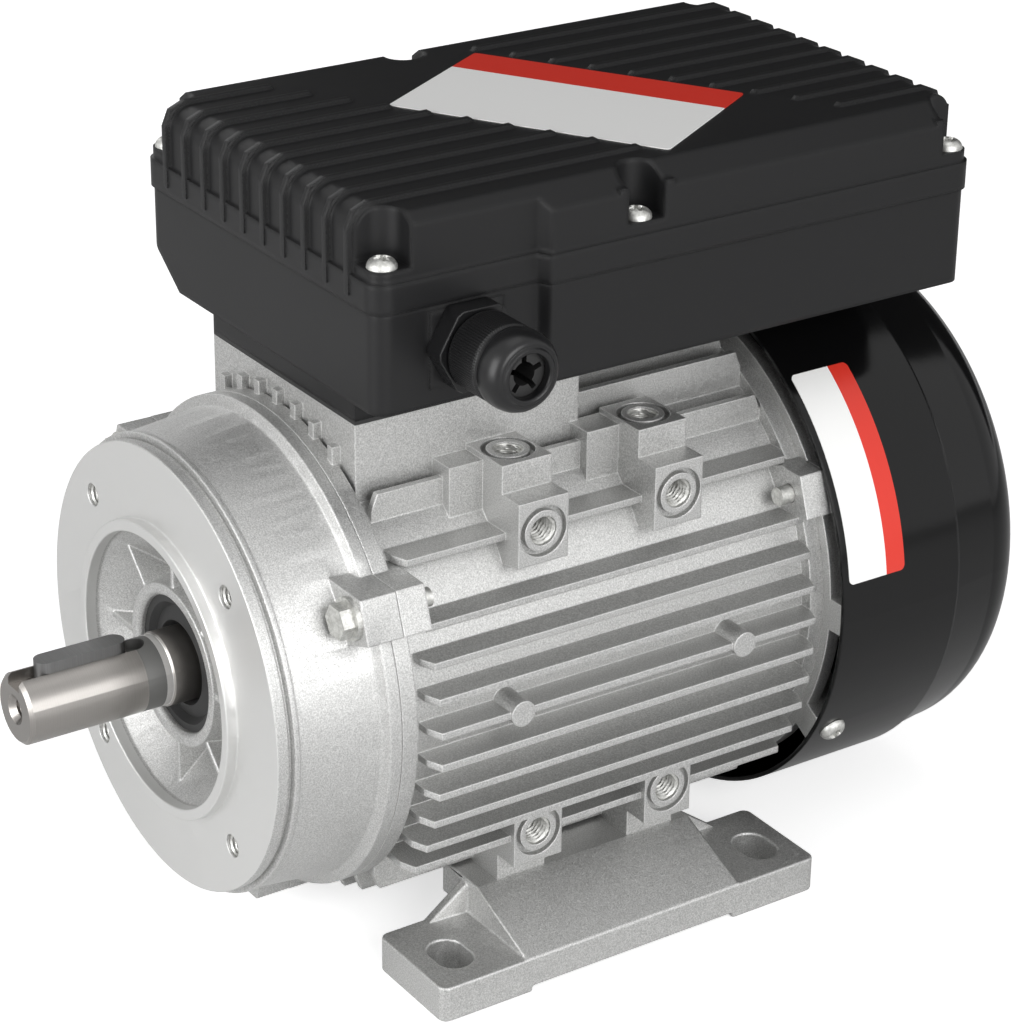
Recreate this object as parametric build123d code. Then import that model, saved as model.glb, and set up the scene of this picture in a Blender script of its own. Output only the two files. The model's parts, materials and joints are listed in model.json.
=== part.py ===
from build123d import *
import os
from math import cos, sin, sqrt, radians, pi

# A frame-80 single-phase induction motor with feet, a small face flange and a capacitor box.
# The origin is the centre of the flange's mating face, on the shaft axis.
# The shaft points along -Y, +Z is up, and +X is the side that carries the cable gland.

# Standard mounting sizes
shaft_height = 80.0
foot_spacing = 125.0
foot_pitch = 100.0
foot_setback = 50.0
flange_outer_r = 60.0
flange_hole_circle_r = 50.0
flange_hole_r = 3.0
flange_hole_count = 4
flange_hole_first_angle = 45.0
spigot_r = 40.0
spigot_height = 3.0
shaft_end_r = 9.5
shaft_end_length = 40.0
shoulder_y = -1.5

# Clearances
running_gap = 0.05
press_gap = 0.02
screw_gap = 0.15
air_gap = 0.35
seat_gap = 0.02

# Stator frame
frame_front_y = 32.0
frame_rear_y = 165.0
frame_wall = 4.5
core_r = 58.0
frame_body_r = core_r + frame_wall
frame_ring_r = 66.2
frame_ring_width = 4.5
register_r = 59.4
register_depth = 4.0

# Cooling fins: upright plates below and beside the box, level plates at the sides
fin_pitch = 9.0
fin_thickness = 1.9
fin_envelope_r = 70.8
fin_envelope_drop = 4.0
fin_front_y = frame_front_y + 7.0
fin_rear_y = frame_rear_y - 4.5
fin_corner = 4.5
side_fin_top_z = 27.5
side_fin_count = 9
shoulder_fin_z = 41.5
upright_fin_first_x = 3.5
upright_fin_count = 5
upright_fin_r = 71.0
shoulder_fin_top_z = 55.0

# Platform under the terminal box
platform_half_width = 35.6
platform_front_y = frame_front_y + 5.4
platform_rear_y = 104.6
platform_top_z = 72.5
platform_rib_count = 7
platform_rib_pitch = 9.1
platform_rib_thickness = 2.4
platform_rib_top_r = 70.0
lead_window_length = 14.0
lead_window_width = 34.0
lead_window_y = 50.0

# Foot bosses of the frame
boss_y = (77.5, 119.5)
boss_width = 15.0
boss_axis = 43.5
boss_half = 8.8
boss_reach = 60.0
boss_screw_r = 4.0
boss_tube_r = 5.6
boss_recess_r = 7.0
boss_recess_depth = 2.0
boss_hole_depth = 14.0
boss_arm_length = 10.0
boss_arm_top_z = 58.5

# Pegs on the sides of the frame
peg_r = 3.5
peg_reach = 71.5
peg_y = (64.5, 134.5)
peg_z = 0.5

# Ears and their screws
ear_thickness = 8.0
ear_front_shield_y = 21.7
ear_top_z = 40.2
ear_outer_top_x = 63.2
ear_outer_low = (67.1, 29.2)
ear_screw = (59.0, 33.8)
bottom_ear_half_width = 8.0
bottom_ear_reach = 73.0
bottom_screw_r = 67.5
ear_screw_r = 2.5
ear_screw_flange_r = 5.7
ear_screw_flange_height = 1.4
ear_screw_head_flats = 8.0
ear_screw_head_height = 4.6
ear_screw_tip = 4.0

# Front endshield
flange_thickness = 3.3
rim_r = 61.5
barrel_end_r = 63.2
barrel_end_y = 27.5
shield_wall = 5.0
spigot_wall = 3.0
recess_lip_y = 1.0
recess_root_r = 25.0
recess_root_y = 14.0
gusset_front_y = 3.8
flange_depth = 11.0
web_thickness = 4.5
hub_front_y = 3.0
hub_front_r = 22.0
gusset_count = 8
gusset_thickness = 1.6

# Bearings 6204: 20 x 47 x 14
bearing_bore_r = 10.0
bearing_outer_r = 23.5
bearing_width = 14.0
bearing_inner_land_r = 14.0
bearing_outer_land_r = 19.5
ball_r = 3.95
ball_count = 8
ball_angle_step = 360.0 / 8
cage_wall = 1.5
cage_width = 10.4
shield_plate = 0.5
front_bearing_y = 18.0
rear_bearing_y = frame_rear_y + 6.0
hub_wall = 5.0

# Shaft seal 20 x 37 x 7
seal_outer_r = 18.5
seal_width = 7.0
seal_y = 5.0

# Shaft
shaft_seat_r = 10.0
shaft_body_r = 12.0
core_seat_r = 13.0
fan_seat_r = 8.5
shaft_rear_y = frame_rear_y + 52.0
shaft_chamfer = 1.0
centre_hole_r = 2.5
centre_hole_depth = 16.0
key_width = 6.0
key_height = 6.0
key_length = 25.0
key_rear_y = -10.5
keyway_depth = 3.5
keyway_end_y = -8.0
shaft_seam_angle = 18.0

# Wound core
core_length = 74.0
core_bore_r = 33.5
slot_count = 24
slot_depth = 13.0
slot_width = 4.4
slot_open_width = 2.0
slot_lip = 1.0
winding_overhang = 19.0
winding_inner_r = 37.0
winding_outer_r = 54.5
winding_gap = 0.3
end_ring_width = 8.0
end_ring_inner_r = 18.0
end_ring_blade_count = 6
end_ring_blade_depth = 9.0

# Governor and switch
governor_plate_r = 25.0
governor_plate_thickness = 2.0
weight_axis_z = 20.5
weight_length = 8.0
weight_half_width = 8.0
weight_height = 7.0
weight_pin_r = 1.0
weight_pin_stand = 5.5
weight_gap = 1.2
sleeve_r = 14.0
sleeve_length = 6.0
sleeve_travel = 3.0
switch_plate_thickness = 2.0
switch_inner_r = 17.0
switch_outer_r = 38.0
switch_post_r = 4.0
switch_post_x = 32.0
switch_cut_z = -12.0
switch_block_half = 9.0
switch_finger_half = 5.0
switch_screw_r = 1.5
switch_screw_head_r = 2.8
switch_screw_head_height = 1.8
switch_screw_reach = 4.5

# Rear endshield
rear_rim_gap = 7.0
rear_rim_width = 4.0
rear_shield_depth = 17.0
cowl_pad_width = 9.0
cowl_pad_length = 13.0
cowl_screw_first_angle = 90.0
cowl_screw_count = 3
cowl_screw_setback = 6.0
cowl_screw_r = 2.0
cowl_screw_head_r = 3.8
cowl_screw_head_height = 2.4
cowl_screw_length = 8.0

# Fan and cowl
cowl_outer_r = 76.0
cowl_wall = 1.2
cowl_overlap = 1.0
cowl_front_y = frame_rear_y - cowl_overlap
cowl_crease_y = cowl_front_y + 40.0
cowl_crease = 0.8
cowl_taper_r = cowl_outer_r - 2.6
cowl_taper_y = cowl_crease_y + 15.0
cowl_corner = 12.0
cowl_rear_y = cowl_taper_y + 13.0
cowl_screw_y = frame_rear_y + cowl_screw_setback
rear_rim_r = cowl_outer_r - rear_rim_gap
grille_ring_count = 4
grille_first_r = 20.0
grille_ring_pitch = 10.0
grille_slot_width = 5.0
grille_sector_count = 6
grille_rib = 7.0
fan_tip_gap = 8.8
fan_r = cowl_outer_r - cowl_wall - fan_tip_gap
fan_hub_r = 14.0
fan_hub_length = 18.0
fan_y = frame_rear_y + 30.0
fan_plate_thickness = 2.0
fan_blade_width = 20.0
fan_blade_thickness = 2.2
fan_blade_count = 7
fan_blade_corner_r = 12.0
fan_blade_corner_y = 9.0
circlip_thickness = 1.0
circlip_width = 2.5
v_ring_r = 14.0
v_ring_width = 5.0

# Feet
foot_outer_x = 76.3
foot_inner_x = 44.9
foot_front_y = 37.5
foot_length = 121.5
foot_thickness = 10.2
foot_slot_width = 10.0
foot_slot_length = 14.0
foot_block_inner_x = 35.5
foot_block_top_x = 52.4
foot_block_front_y = 63.4
foot_block_length = 69.5
foot_gusset_toe = 12.0
foot_gusset_thickness = 3.0
foot_relief_depth = 1.6
foot_relief_edge = 2.0
foot_screw_head_r = 6.5
foot_screw_head_height = 8.0
foot_screw_socket_flats = 6.0
foot_screw_socket_depth = 4.0
foot_screw_reach = 10.0

# Terminal box
box_front_y = 30.0
box_length = 182.0
box_half_width = 57.5
box_jog_y = 76.0
box_jog = 3.5
box_above_cowl = 7.5
box_bottom_z = cowl_outer_r + box_above_cowl
box_base_height = 26.0
box_lip_height = 7.5
box_cover_height = 23.7
box_shoulder_drop = 2.5
box_seam_z = box_bottom_z + box_base_height
box_lip_top_z = box_seam_z + box_lip_height
box_top_z = box_seam_z + box_cover_height
box_shoulder_z = box_top_z - box_shoulder_drop
box_lip = 0.8
box_top_inset = 3.5
box_wall = 2.6
box_corner_r = 5.0
box_chamfer_x = 16.0
box_chamfer_z = 13.0
box_gasket = 1.0
cover_gasket_thickness = 1.0
pocket_depth = 13.2
pocket_floor_z = box_top_z - pocket_depth
pocket_r = 5.6
pocket_inset = 5.1
middle_pocket_y = 106.5
rib_count = 10
rib_pitch = 10.0
rib_thickness = 2.0
rib_height = 1.6
rib_drop = 21.4
rib_bottom_z = box_top_z - rib_drop
rib_first_end_y = 62.0
rib_end_step = 5.9
rib_band = 62.0
box_edge_r = 6.0
pocket_reach = 20.0
housing_reach = 8.0
cover_screw_r = 2.0
cover_screw_depth = 12.0
cover_post_r = 4.6
cover_screw_head_r = 3.8
cover_screw_head_height = 2.6
pedestal_floor = 4.0
base_screw_r = 2.5
base_screw_depth = 9.0
base_screw_inset = 8.0
base_screw_head_r = 4.5
base_screw_head_height = 3.0

# Cable gland
gland_y = 56.0
gland_height = 15.0
gland_z = box_bottom_z + gland_height
gland_thread_r = 8.0
gland_hex_flats = 21.0
gland_hex_height = 6.0
gland_pad = 0.8
gland_pad_half = 10.5
gland_cap_r = 10.3
gland_cap_length = 20.5
gland_bush_wall = 1.4
gland_wall = 2.2
gland_tail_length = 11.0
gland_thread_length = 9.0
gland_nut_height = 4.3
gland_dome_r = 6.5
gland_hole_r = 5.6
gland_seal_hole_r = 3.0
gland_notch_count = 5

# Inside the terminal box
board_length = 40.0
board_width = 44.0
board_thickness = 3.0
board_y = 62.0
board_stand = 8.0
stud_r = 2.0
stud_count = 3
stud_pitch_x = 14.0
stud_pitch_y = 18.0
stud_length = 17.0
stud_tail = 3.0
board_leg_r = 3.0
nut_flats = 7.0
nut_height = 3.2
link_thickness = 0.8
link_width = 8.0
start_capacitor_r = 20.0
start_capacitor_length = 84.0
start_capacitor_x = -25.0
run_capacitor_r = 17.5
run_capacitor_length = 74.0
run_capacitor_x = 24.0
capacitor_tab_x = 6.0
capacitor_tab_length = 7.0
capacitor_rear_gap = 12.0
clamp_thickness = 1.0
clamp_width = 14.0
clamp_foot = 7.0

os.makedirs("parts", exist_ok=True)


def save(name, shape):
    """Write one node; a list of solids becomes a group in that node."""
    if isinstance(shape, (list, tuple)):
        shape = Compound(children=[s for part in shape for s in part.solids()])
    export_step(shape, "parts/" + name + ".step")


def turned(*profile):
    """A solid of revolution about the shaft axis; the profile is (radius, y) corners."""
    return revolve(make_face(Polyline(*profile, close=True)), Axis.Y)


def rod(r, y0, y1, x=0.0, z=0.0):
    """A round bar along Y from y0 to y1."""
    bar = Cylinder(r, y1 - y0, align=(Align.CENTER, Align.CENTER, Align.MIN))
    return Pos(x, y0, z) * Rot(-90, 0, 0) * bar


def ring(r_in, r_out, y0, y1, x=0.0, z=0.0):
    return rod(r_out, y0, y1, x, z) - rod(r_in, y0 - 1, y1 + 1, x, z)


def post(r, z0, z1, x=0.0, y=0.0):
    """A round bar along Z."""
    return Pos(x, y, z0) * Cylinder(r, z1 - z0, align=(Align.CENTER, Align.CENTER, Align.MIN))


def peg(r, x0, x1, y=0.0, z=0.0):
    """A round bar along X."""
    bar = Cylinder(r, x1 - x0, align=(Align.CENTER, Align.CENTER, Align.MIN))
    return Pos(x0, y, z) * Rot(0, 90, 0) * bar


def block(x0, x1, y0, y1, z0, z1):
    centre = Pos((x0 + x1) / 2, (y0 + y1) / 2, (z0 + z1) / 2)
    return centre * Box(x1 - x0, y1 - y0, z1 - z0)


def prism_y(points, y0, y1):
    """Extrude an outline of (x, z) corners along Y."""
    plane = Plane(origin=(0, y0, 0), x_dir=(1, 0, 0), z_dir=(0, -1, 0))
    return extrude(plane * make_face(Polyline(*points, close=True)), amount=y1 - y0, dir=(0, 1, 0))


def prism_x(points, x0, x1):
    """Extrude an outline of (y, z) corners along X."""
    return extrude(Plane.YZ.offset(x0) * make_face(Polyline(*points, close=True)), amount=x1 - x0)


def prism_z(points, z0, z1):
    """Extrude an outline of (x, y) corners along Z."""
    return extrude(Plane.XY.offset(z0) * make_face(Polyline(*points, close=True)), amount=z1 - z0)


def hexagon_y(flats, y0, y1, x=0.0, z=0.0):
    plane = Plane(origin=(x, y0, z), x_dir=(1, 0, 0), z_dir=(0, -1, 0))
    return extrude(plane * RegularPolygon(flats / 2, 6, major_radius=False), amount=y1 - y0, dir=(0, 1, 0))


def hexagon_x(flats, x0, x1, y=0.0, z=0.0):
    plane = Plane(origin=(x0, y, z), x_dir=(0, 1, 0), z_dir=(1, 0, 0))
    return extrude(plane * RegularPolygon(flats / 2, 6, major_radius=False), amount=x1 - x0)


def hexagon_z(flats, z0, z1, x=0.0, y=0.0):
    return extrude(Plane((x, y, z0)) * RegularPolygon(flats / 2, 6, major_radius=False), amount=z1 - z0)


def around(shape, angle):
    """Turn a shape about the shaft axis."""
    return shape.rotate(Axis.Y, -angle)


def polar(angle, r):
    """x and z of a point at an angle from +X towards +Z."""
    return r * cos(radians(angle)), r * sin(radians(angle))


def both_sides(shape):
    return [shape, mirror(shape, Plane.YZ)]


def fuse(base, parts):
    return base + list(parts)


def cut(base, parts):
    return base - list(parts)


# Ears: two at the shoulders and one at the bottom, for the screws of each endshield

def ears(y0, y1):
    root = frame_body_r - 6
    side = [(root - 12, ear_top_z), (ear_outer_top_x, ear_top_z), ear_outer_low, (root, ear_outer_low[1] - 4),
            (root - 8, ear_outer_low[1] - 4)]
    w = bottom_ear_half_width
    foot = [(-w - 2, -root), (-w, -bottom_ear_reach), (w, -bottom_ear_reach), (w + 2, -root)]
    return both_sides(prism_y(side, y0, y1)) + [prism_y(foot, y0, y1)]


def ear_places():
    x, z = ear_screw
    return [(x, z), (-x, z), (0.0, -bottom_screw_r)]


def ear_holes(y0, y1):
    return [rod(ear_screw_r + screw_gap, y0, y1, x, z) for x, z in ear_places()]


def spot_faces(seat_y, y_end):
    """Round pockets that let the screw heads sit beside the barrel."""
    y0, y1 = sorted((seat_y, y_end))
    return [rod(ear_screw_flange_r + 0.3, y0, y1, x, z) for x, z in ear_places()]


def ear_screws(seat_y, way, length):
    """Flanged hexagon screws; way is +1 when they point along +Y."""
    screws = []
    for x, z in ear_places():
        flange_y = seat_y - way * ear_screw_flange_height
        head_y = seat_y - way * ear_screw_head_height
        tip_y = seat_y + way * length
        shank = rod(ear_screw_r, min(head_y, tip_y), max(head_y, tip_y), x, z)
        flange = rod(ear_screw_flange_r, min(flange_y, seat_y), max(flange_y, seat_y), x, z)
        head = hexagon_y(ear_screw_head_flats, min(head_y, seat_y), max(head_y, seat_y), x, z)
        screws.append(shank + flange + head)
    return screws


# Front endshield: flange, spigot, ribbed recess, seal and bearing housing

def front_endshield():
    slope = (recess_root_y - recess_lip_y) / (spigot_r - spigot_wall - recess_root_r)
    back_shift = web_thickness * sqrt(1 + slope ** 2)
    hub_corner_y = recess_root_y + back_shift - slope * (bearing_outer_r + hub_wall - recess_root_r)
    flange_corner_r = recess_root_r + (recess_root_y + back_shift - flange_depth) / slope
    bearing_end = front_bearing_y + bearing_width
    cavity_r = barrel_end_r - shield_wall
    hub_r = bearing_outer_r + hub_wall
    recess_r = spigot_r - spigot_wall
    body = turned(
        (recess_r, -spigot_height), (spigot_r, -spigot_height), (spigot_r, 0), (flange_outer_r, 0),
        (flange_outer_r, flange_thickness), (flange_outer_r - 0.8, flange_thickness),
        (flange_outer_r - 0.8, flange_thickness + 0.8), (rim_r, flange_thickness + 0.8),
        (rim_r, flange_thickness + 2.3), (rim_r - 0.5, flange_thickness + 2.3),
        (barrel_end_r, barrel_end_y), (frame_ring_r, barrel_end_y + 1), (frame_ring_r, frame_front_y),
        (register_r, frame_front_y), (register_r, frame_front_y + register_depth),
        (register_r - 3, frame_front_y + register_depth), (cavity_r - 1.8, barrel_end_y),
        (cavity_r - 3, flange_depth), (flange_corner_r, flange_depth),
        (hub_r, hub_corner_y), (hub_r, bearing_end + 1), (bearing_outer_r, bearing_end + 1),
        (bearing_outer_r, front_bearing_y), (seal_outer_r - 2, front_bearing_y),
        (seal_outer_r - 2, seal_y + seal_width), (seal_outer_r, seal_y + seal_width),
        (seal_outer_r, hub_front_y + 1), (seal_outer_r + 1, hub_front_y), (hub_front_r, hub_front_y),
        (recess_root_r - 0.8, recess_root_y), (recess_root_r, recess_root_y), (recess_r, recess_lip_y))
    body = fuse(body, ears(ear_front_shield_y, frame_front_y))
    half = gusset_thickness / 2
    gusset_end_r = recess_r - (gusset_front_y - recess_lip_y) / slope
    gusset = prism_z([(hub_front_r - 1, gusset_front_y), (gusset_end_r + 0.8, gusset_front_y),
                      (recess_root_r + 0.8, recess_root_y + 0.9), (hub_front_r - 1,
                                                                   recess_root_y + 0.9)], -half, half)
    body = fuse(body, [around(gusset, k * 360 / gusset_count) for k in range(gusset_count)])
    for k in range(flange_hole_count):
        x, z = polar(flange_hole_first_angle + k * 360 / flange_hole_count, flange_hole_circle_r)
        body = body - rod(flange_hole_r, -1, flange_depth + 1, x, z)
    body = cut(body, ear_holes(ear_front_shield_y - 1, frame_front_y + 1))
    return cut(body, spot_faces(ear_front_shield_y, ear_front_shield_y - 7))


# Stator frame: finned barrel, rings, platform, foot bosses, pegs and ears

def fin_tip_x(z):
    return sqrt(fin_envelope_r ** 2 - (z + fin_envelope_drop) ** 2)


def side_fin(z):
    """A level cooling plate with its two outer corners taken off."""
    tip = fin_tip_x(z)
    root = sqrt(frame_body_r ** 2 - z ** 2) - 3
    outline = [(root, fin_front_y), (tip - fin_corner, fin_front_y), (tip, fin_front_y + fin_corner * 0.4),
               (tip, fin_rear_y - fin_corner * 0.4), (tip - fin_corner, fin_rear_y), (root, fin_rear_y)]
    return prism_z(outline, z - fin_thickness / 2, z + fin_thickness / 2)


def upright_fin(x, top_z, y0, y1, up):
    """An upright cooling plate; up is +1 above the barrel and -1 below it."""
    root = (sqrt(frame_body_r ** 2 - x ** 2) - 3) * up
    tip = top_z * up
    corner = fin_corner * up
    outline = [(y0, root), (y0, tip - corner), (y0 + fin_corner * 0.4, tip), (y1 - fin_corner * 0.4, tip),
               (y1, tip - corner), (y1, root)]
    return prism_x(outline, x - fin_thickness / 2, x + fin_thickness / 2)


def foot_boss(y, up):
    """A boss with one square face outwards and one up or down."""
    a, b = boss_axis - boss_half, boss_axis + boss_half
    y0, y1 = y - boss_width / 2, y + boss_width / 2
    inner = boss_axis - boss_half - 6
    outline = [(inner, inner * up), (boss_reach, a * up), (boss_reach, b * up), (b, b * up),
               (b, boss_reach * up), (a, boss_reach * up)]
    return prism_y(outline, y0, y1)


def boss_holes(y, up):
    """Screw holes with the ring-shaped recess round each tapped tube."""
    inner = boss_reach - boss_hole_depth
    floor = boss_reach - boss_recess_depth
    side_recess = peg(boss_recess_r, floor, boss_reach + 1, y, boss_axis * up)
    side_tube = peg(boss_tube_r, floor - 1, boss_reach + 2, y, boss_axis * up)
    side_hole = peg(boss_screw_r, inner, boss_reach + 1, y, boss_axis * up)
    low, high = sorted((floor * up, (boss_reach + 1) * up))
    end_recess = post(boss_recess_r, low, high, boss_axis, y) - post(boss_tube_r, low - 1, high + 1,
                                                                     boss_axis, y)
    low, high = sorted((inner * up, (boss_reach + 1) * up))
    end_hole = post(boss_screw_r, low, high, boss_axis, y)
    return [side_recess - side_tube, side_hole, end_recess, end_hole]


def stator_frame():
    body = rod(frame_body_r, frame_front_y, frame_rear_y)
    body = body + rod(frame_ring_r, frame_front_y, frame_front_y + frame_ring_width)
    body = body + rod(frame_ring_r, frame_rear_y - frame_ring_width, frame_rear_y)
    side_levels = [side_fin_top_z - k * fin_pitch for k in range(side_fin_count)] + [shoulder_fin_z]
    fins = []
    for z in side_levels:
        fins += both_sides(side_fin(z))
    for k in range(upright_fin_count):
        x = upright_fin_first_x + k * fin_pitch
        reach = sqrt(upright_fin_r ** 2 - x ** 2)
        fins += both_sides(upright_fin(x, reach, fin_front_y, fin_rear_y, -1))
        if x < platform_half_width:
            fins += both_sides(upright_fin(x, reach, platform_rear_y - 3, fin_rear_y, 1))
    outer_x = upright_fin_first_x + (upright_fin_count - 1) * fin_pitch
    fins += both_sides(upright_fin(outer_x, shoulder_fin_top_z, fin_front_y, fin_rear_y, 1))
    body = fuse(body, fins)
    body = body + block(-platform_half_width, platform_half_width, platform_front_y, platform_rear_y,
                        core_r - 10, platform_top_z)
    for k in range(platform_rib_count):
        x = (k - (platform_rib_count - 1) / 2) * platform_rib_pitch
        top = sqrt(platform_rib_top_r ** 2 - x ** 2)
        half = platform_rib_thickness / 2
        body = body + block(x - half, x + half, frame_front_y + 3, platform_front_y + 1, core_r - 5, top)
    for y in boss_y:
        for up in (1, -1):
            body = fuse(body, both_sides(foot_boss(y, up)))
        arm = block(platform_half_width - 1, boss_axis, y - boss_width / 2 - boss_arm_length, y,
                    boss_axis, boss_arm_top_z)
        body = fuse(body, both_sides(arm))
    for y in peg_y:
        body = fuse(body, both_sides(peg(peg_r, frame_body_r - 4, peg_reach, y, peg_z)))
    body = fuse(body, ears(frame_front_y, frame_front_y + ear_thickness))
    inside_cowl = rod(cowl_outer_r - cowl_wall - seat_gap, frame_rear_y - ear_thickness, frame_rear_y)
    body = fuse(body, [ear & inside_cowl for ear in ears(frame_rear_y - ear_thickness, frame_rear_y)])
    body = body - rod(core_r, frame_front_y - 1, frame_rear_y + 1)
    body = body - rod(register_r + press_gap, frame_front_y - 1, frame_front_y + register_depth + 1)
    body = body - rod(register_r + press_gap, frame_rear_y - register_depth - 1, frame_rear_y + 1)
    body = cut(body, ear_holes(frame_front_y - 1, frame_front_y + ear_thickness + 1))
    body = cut(body, ear_holes(frame_rear_y - ear_thickness - 1, frame_rear_y + 1))
    for y in boss_y:
        for up in (1, -1):
            for hole in boss_holes(y, up):
                body = cut(body, both_sides(hole))
    body = body - lead_window(core_r - 12, platform_top_z + 1)
    body = cut(body, [post(base_screw_r, platform_top_z - base_screw_depth, platform_top_z + 1, x, y)
                      for x, y in base_screw_places()])
    return body


def lead_window(z0, z1):
    half_x, half_y = lead_window_width / 2, lead_window_length / 2
    return block(-half_x, half_x, lead_window_y - half_y, lead_window_y + half_y, z0, z1)


def base_screw_places():
    x = platform_half_width - base_screw_inset
    ys = (platform_front_y + base_screw_inset, platform_rear_y - base_screw_inset)
    return [(side * x, y) for side in (-1, 1) for y in ys]


# Rear endshield with its cowl pads

def rear_endshield():
    hub_r = bearing_outer_r + hub_wall
    web_y = rear_bearing_y - 1
    end_y = rear_bearing_y + bearing_width + 2.5
    body = turned(
        (register_r, frame_rear_y - register_depth), (register_r, frame_rear_y), (rear_rim_r, frame_rear_y),
        (rear_rim_r, frame_rear_y + rear_rim_width), (register_r + 3, frame_rear_y + rear_rim_width + 3),
        (register_r - 6, frame_rear_y + rear_shield_depth - 4), (hub_r, frame_rear_y + rear_shield_depth),
        (hub_r - 1, end_y), (bearing_outer_r - 3, end_y), (bearing_outer_r - 3, end_y - 1.5),
        (bearing_outer_r, end_y - 1.5), (bearing_outer_r, web_y - 3), (hub_r, web_y - 3),
        (hub_r, frame_rear_y + rear_shield_depth - 5), (register_r - 10,
                                                        frame_rear_y + rear_shield_depth - 9),
        (register_r - 4, frame_rear_y), (register_r - 4, frame_rear_y - register_depth))
    pad_reach = cowl_outer_r - cowl_wall - seat_gap
    pad_root = register_r + 1
    pads = []
    for angle in cowl_screw_angles() + [0, 180]:
        pad = block(pad_root, pad_reach, frame_rear_y, frame_rear_y + cowl_pad_length,
                    -cowl_pad_width / 2, cowl_pad_width / 2)
        pads.append(around(pad, angle))
    body = fuse(body, pads)
    body = body & rod(pad_reach, frame_rear_y - register_depth, end_y)
    ear_depth = ear_thickness - 1
    body = fuse(body, [ear & rod(pad_reach, frame_rear_y, frame_rear_y + ear_depth)
                       for ear in ears(frame_rear_y, frame_rear_y + ear_depth)])
    body = cut(body, ear_holes(frame_rear_y - 1, frame_rear_y + ear_depth + 4))
    body = cut(body, spot_faces(frame_rear_y + ear_depth, frame_rear_y + ear_depth + 8))
    hole = peg(cowl_screw_r, cowl_outer_r - cowl_screw_length - 1, cowl_outer_r, cowl_screw_y, 0)
    body = cut(body, [around(hole, angle) for angle in cowl_screw_angles()])
    posts = [rod(switch_post_r, switch_plate_rear_y(), rear_bearing_y + 1, side * switch_post_x,
                 0) for side in (-1, 1)]
    body = fuse(body, posts)
    body = cut(body, [rod(switch_screw_r, switch_plate_rear_y() - 1, switch_plate_rear_y() + 5,
                          side * switch_post_x, 0)
                      for side in (-1, 1)])
    return body


def cowl_screw_angles():
    return [cowl_screw_first_angle + k * 360 / cowl_screw_count for k in range(cowl_screw_count)]


def switch_plate_rear_y():
    return rear_bearing_y - 6.0


# Feet

def foot():
    """The +X foot: sole, raised block with a sloping side, gussets, slots and screw holes."""
    sole_z = -shaft_height
    sole_top = sole_z + foot_thickness
    y1 = foot_front_y + foot_length
    b0, b1 = foot_block_front_y, foot_block_front_y + foot_block_length
    sole = block(foot_inner_x, foot_outer_x, foot_front_y, y1, sole_z, sole_top)
    sole = fillet(sole.edges().filter_by(Axis.Z), 2.5)
    raised = prism_y([(foot_block_inner_x, sole_top), (foot_block_inner_x, -boss_reach),
                      (foot_block_top_x, -boss_reach),
                      (foot_outer_x, sole_top), (foot_outer_x, sole_top - 1), (foot_inner_x, sole_top - 4),
                      (foot_inner_x, sole_top)], b0, b1)
    raised = raised + block(foot_block_inner_x, foot_inner_x + 1, b0, b1, sole_top, -boss_reach)
    body = sole + raised
    for toe, heel in ((b0 - foot_gusset_toe, b0), (b1 + foot_gusset_toe, b1)):
        gusset = prism_x([(toe, sole_top), (heel, -boss_reach - 1), (heel, sole_top - 2),
                          (toe, sole_top - 2)],
                         foot_inner_x, foot_inner_x + foot_gusset_thickness)
        body = body + gusset
    relief = block(foot_inner_x - 1, foot_outer_x + 1, b0 + foot_relief_edge, b1 - foot_relief_edge,
                   sole_z - 1, sole_z + foot_relief_depth)
    body = body - relief
    for y in foot_hole_places():
        half = (foot_slot_length - foot_slot_width) / 2
        x = foot_spacing / 2
        slot = post(foot_slot_width / 2, sole_z - 1, sole_top + 1, x - half, y) + \
            post(foot_slot_width / 2, sole_z - 1, sole_top + 1, x + half, y) + \
            block(x - half, x + half, y - foot_slot_width / 2, y + foot_slot_width / 2, sole_z - 1,
                  sole_top + 1)
        body = body - slot
    for y in boss_y:
        body = body - post(boss_screw_r + screw_gap, sole_z - 1, -boss_reach + 1, boss_axis, y)
        body = body - post(foot_screw_head_r + 1, sole_z - 1, sole_top, boss_axis, y)
    return body


def foot_hole_places():
    first = shoulder_y + foot_setback
    return (first, first + foot_pitch)


def foot_screws():
    """Socket-head screws from below, through each foot into the frame's bosses."""
    screws = []
    head_z = -shaft_height + foot_thickness
    for side in (-1, 1):
        for y in boss_y:
            x = side * boss_axis
            screw = post(boss_screw_r - running_gap, head_z - foot_screw_head_height,
                         -boss_reach + foot_screw_reach, x, y)
            screw = screw + post(foot_screw_head_r, head_z - foot_screw_head_height, head_z, x, y)
            socket = hexagon_z(foot_screw_socket_flats, head_z - foot_screw_head_height - 1,
                               head_z - foot_screw_head_height + foot_screw_socket_depth, x, y)
            screws.append(screw - socket)
    return screws


# Shaft line

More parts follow.
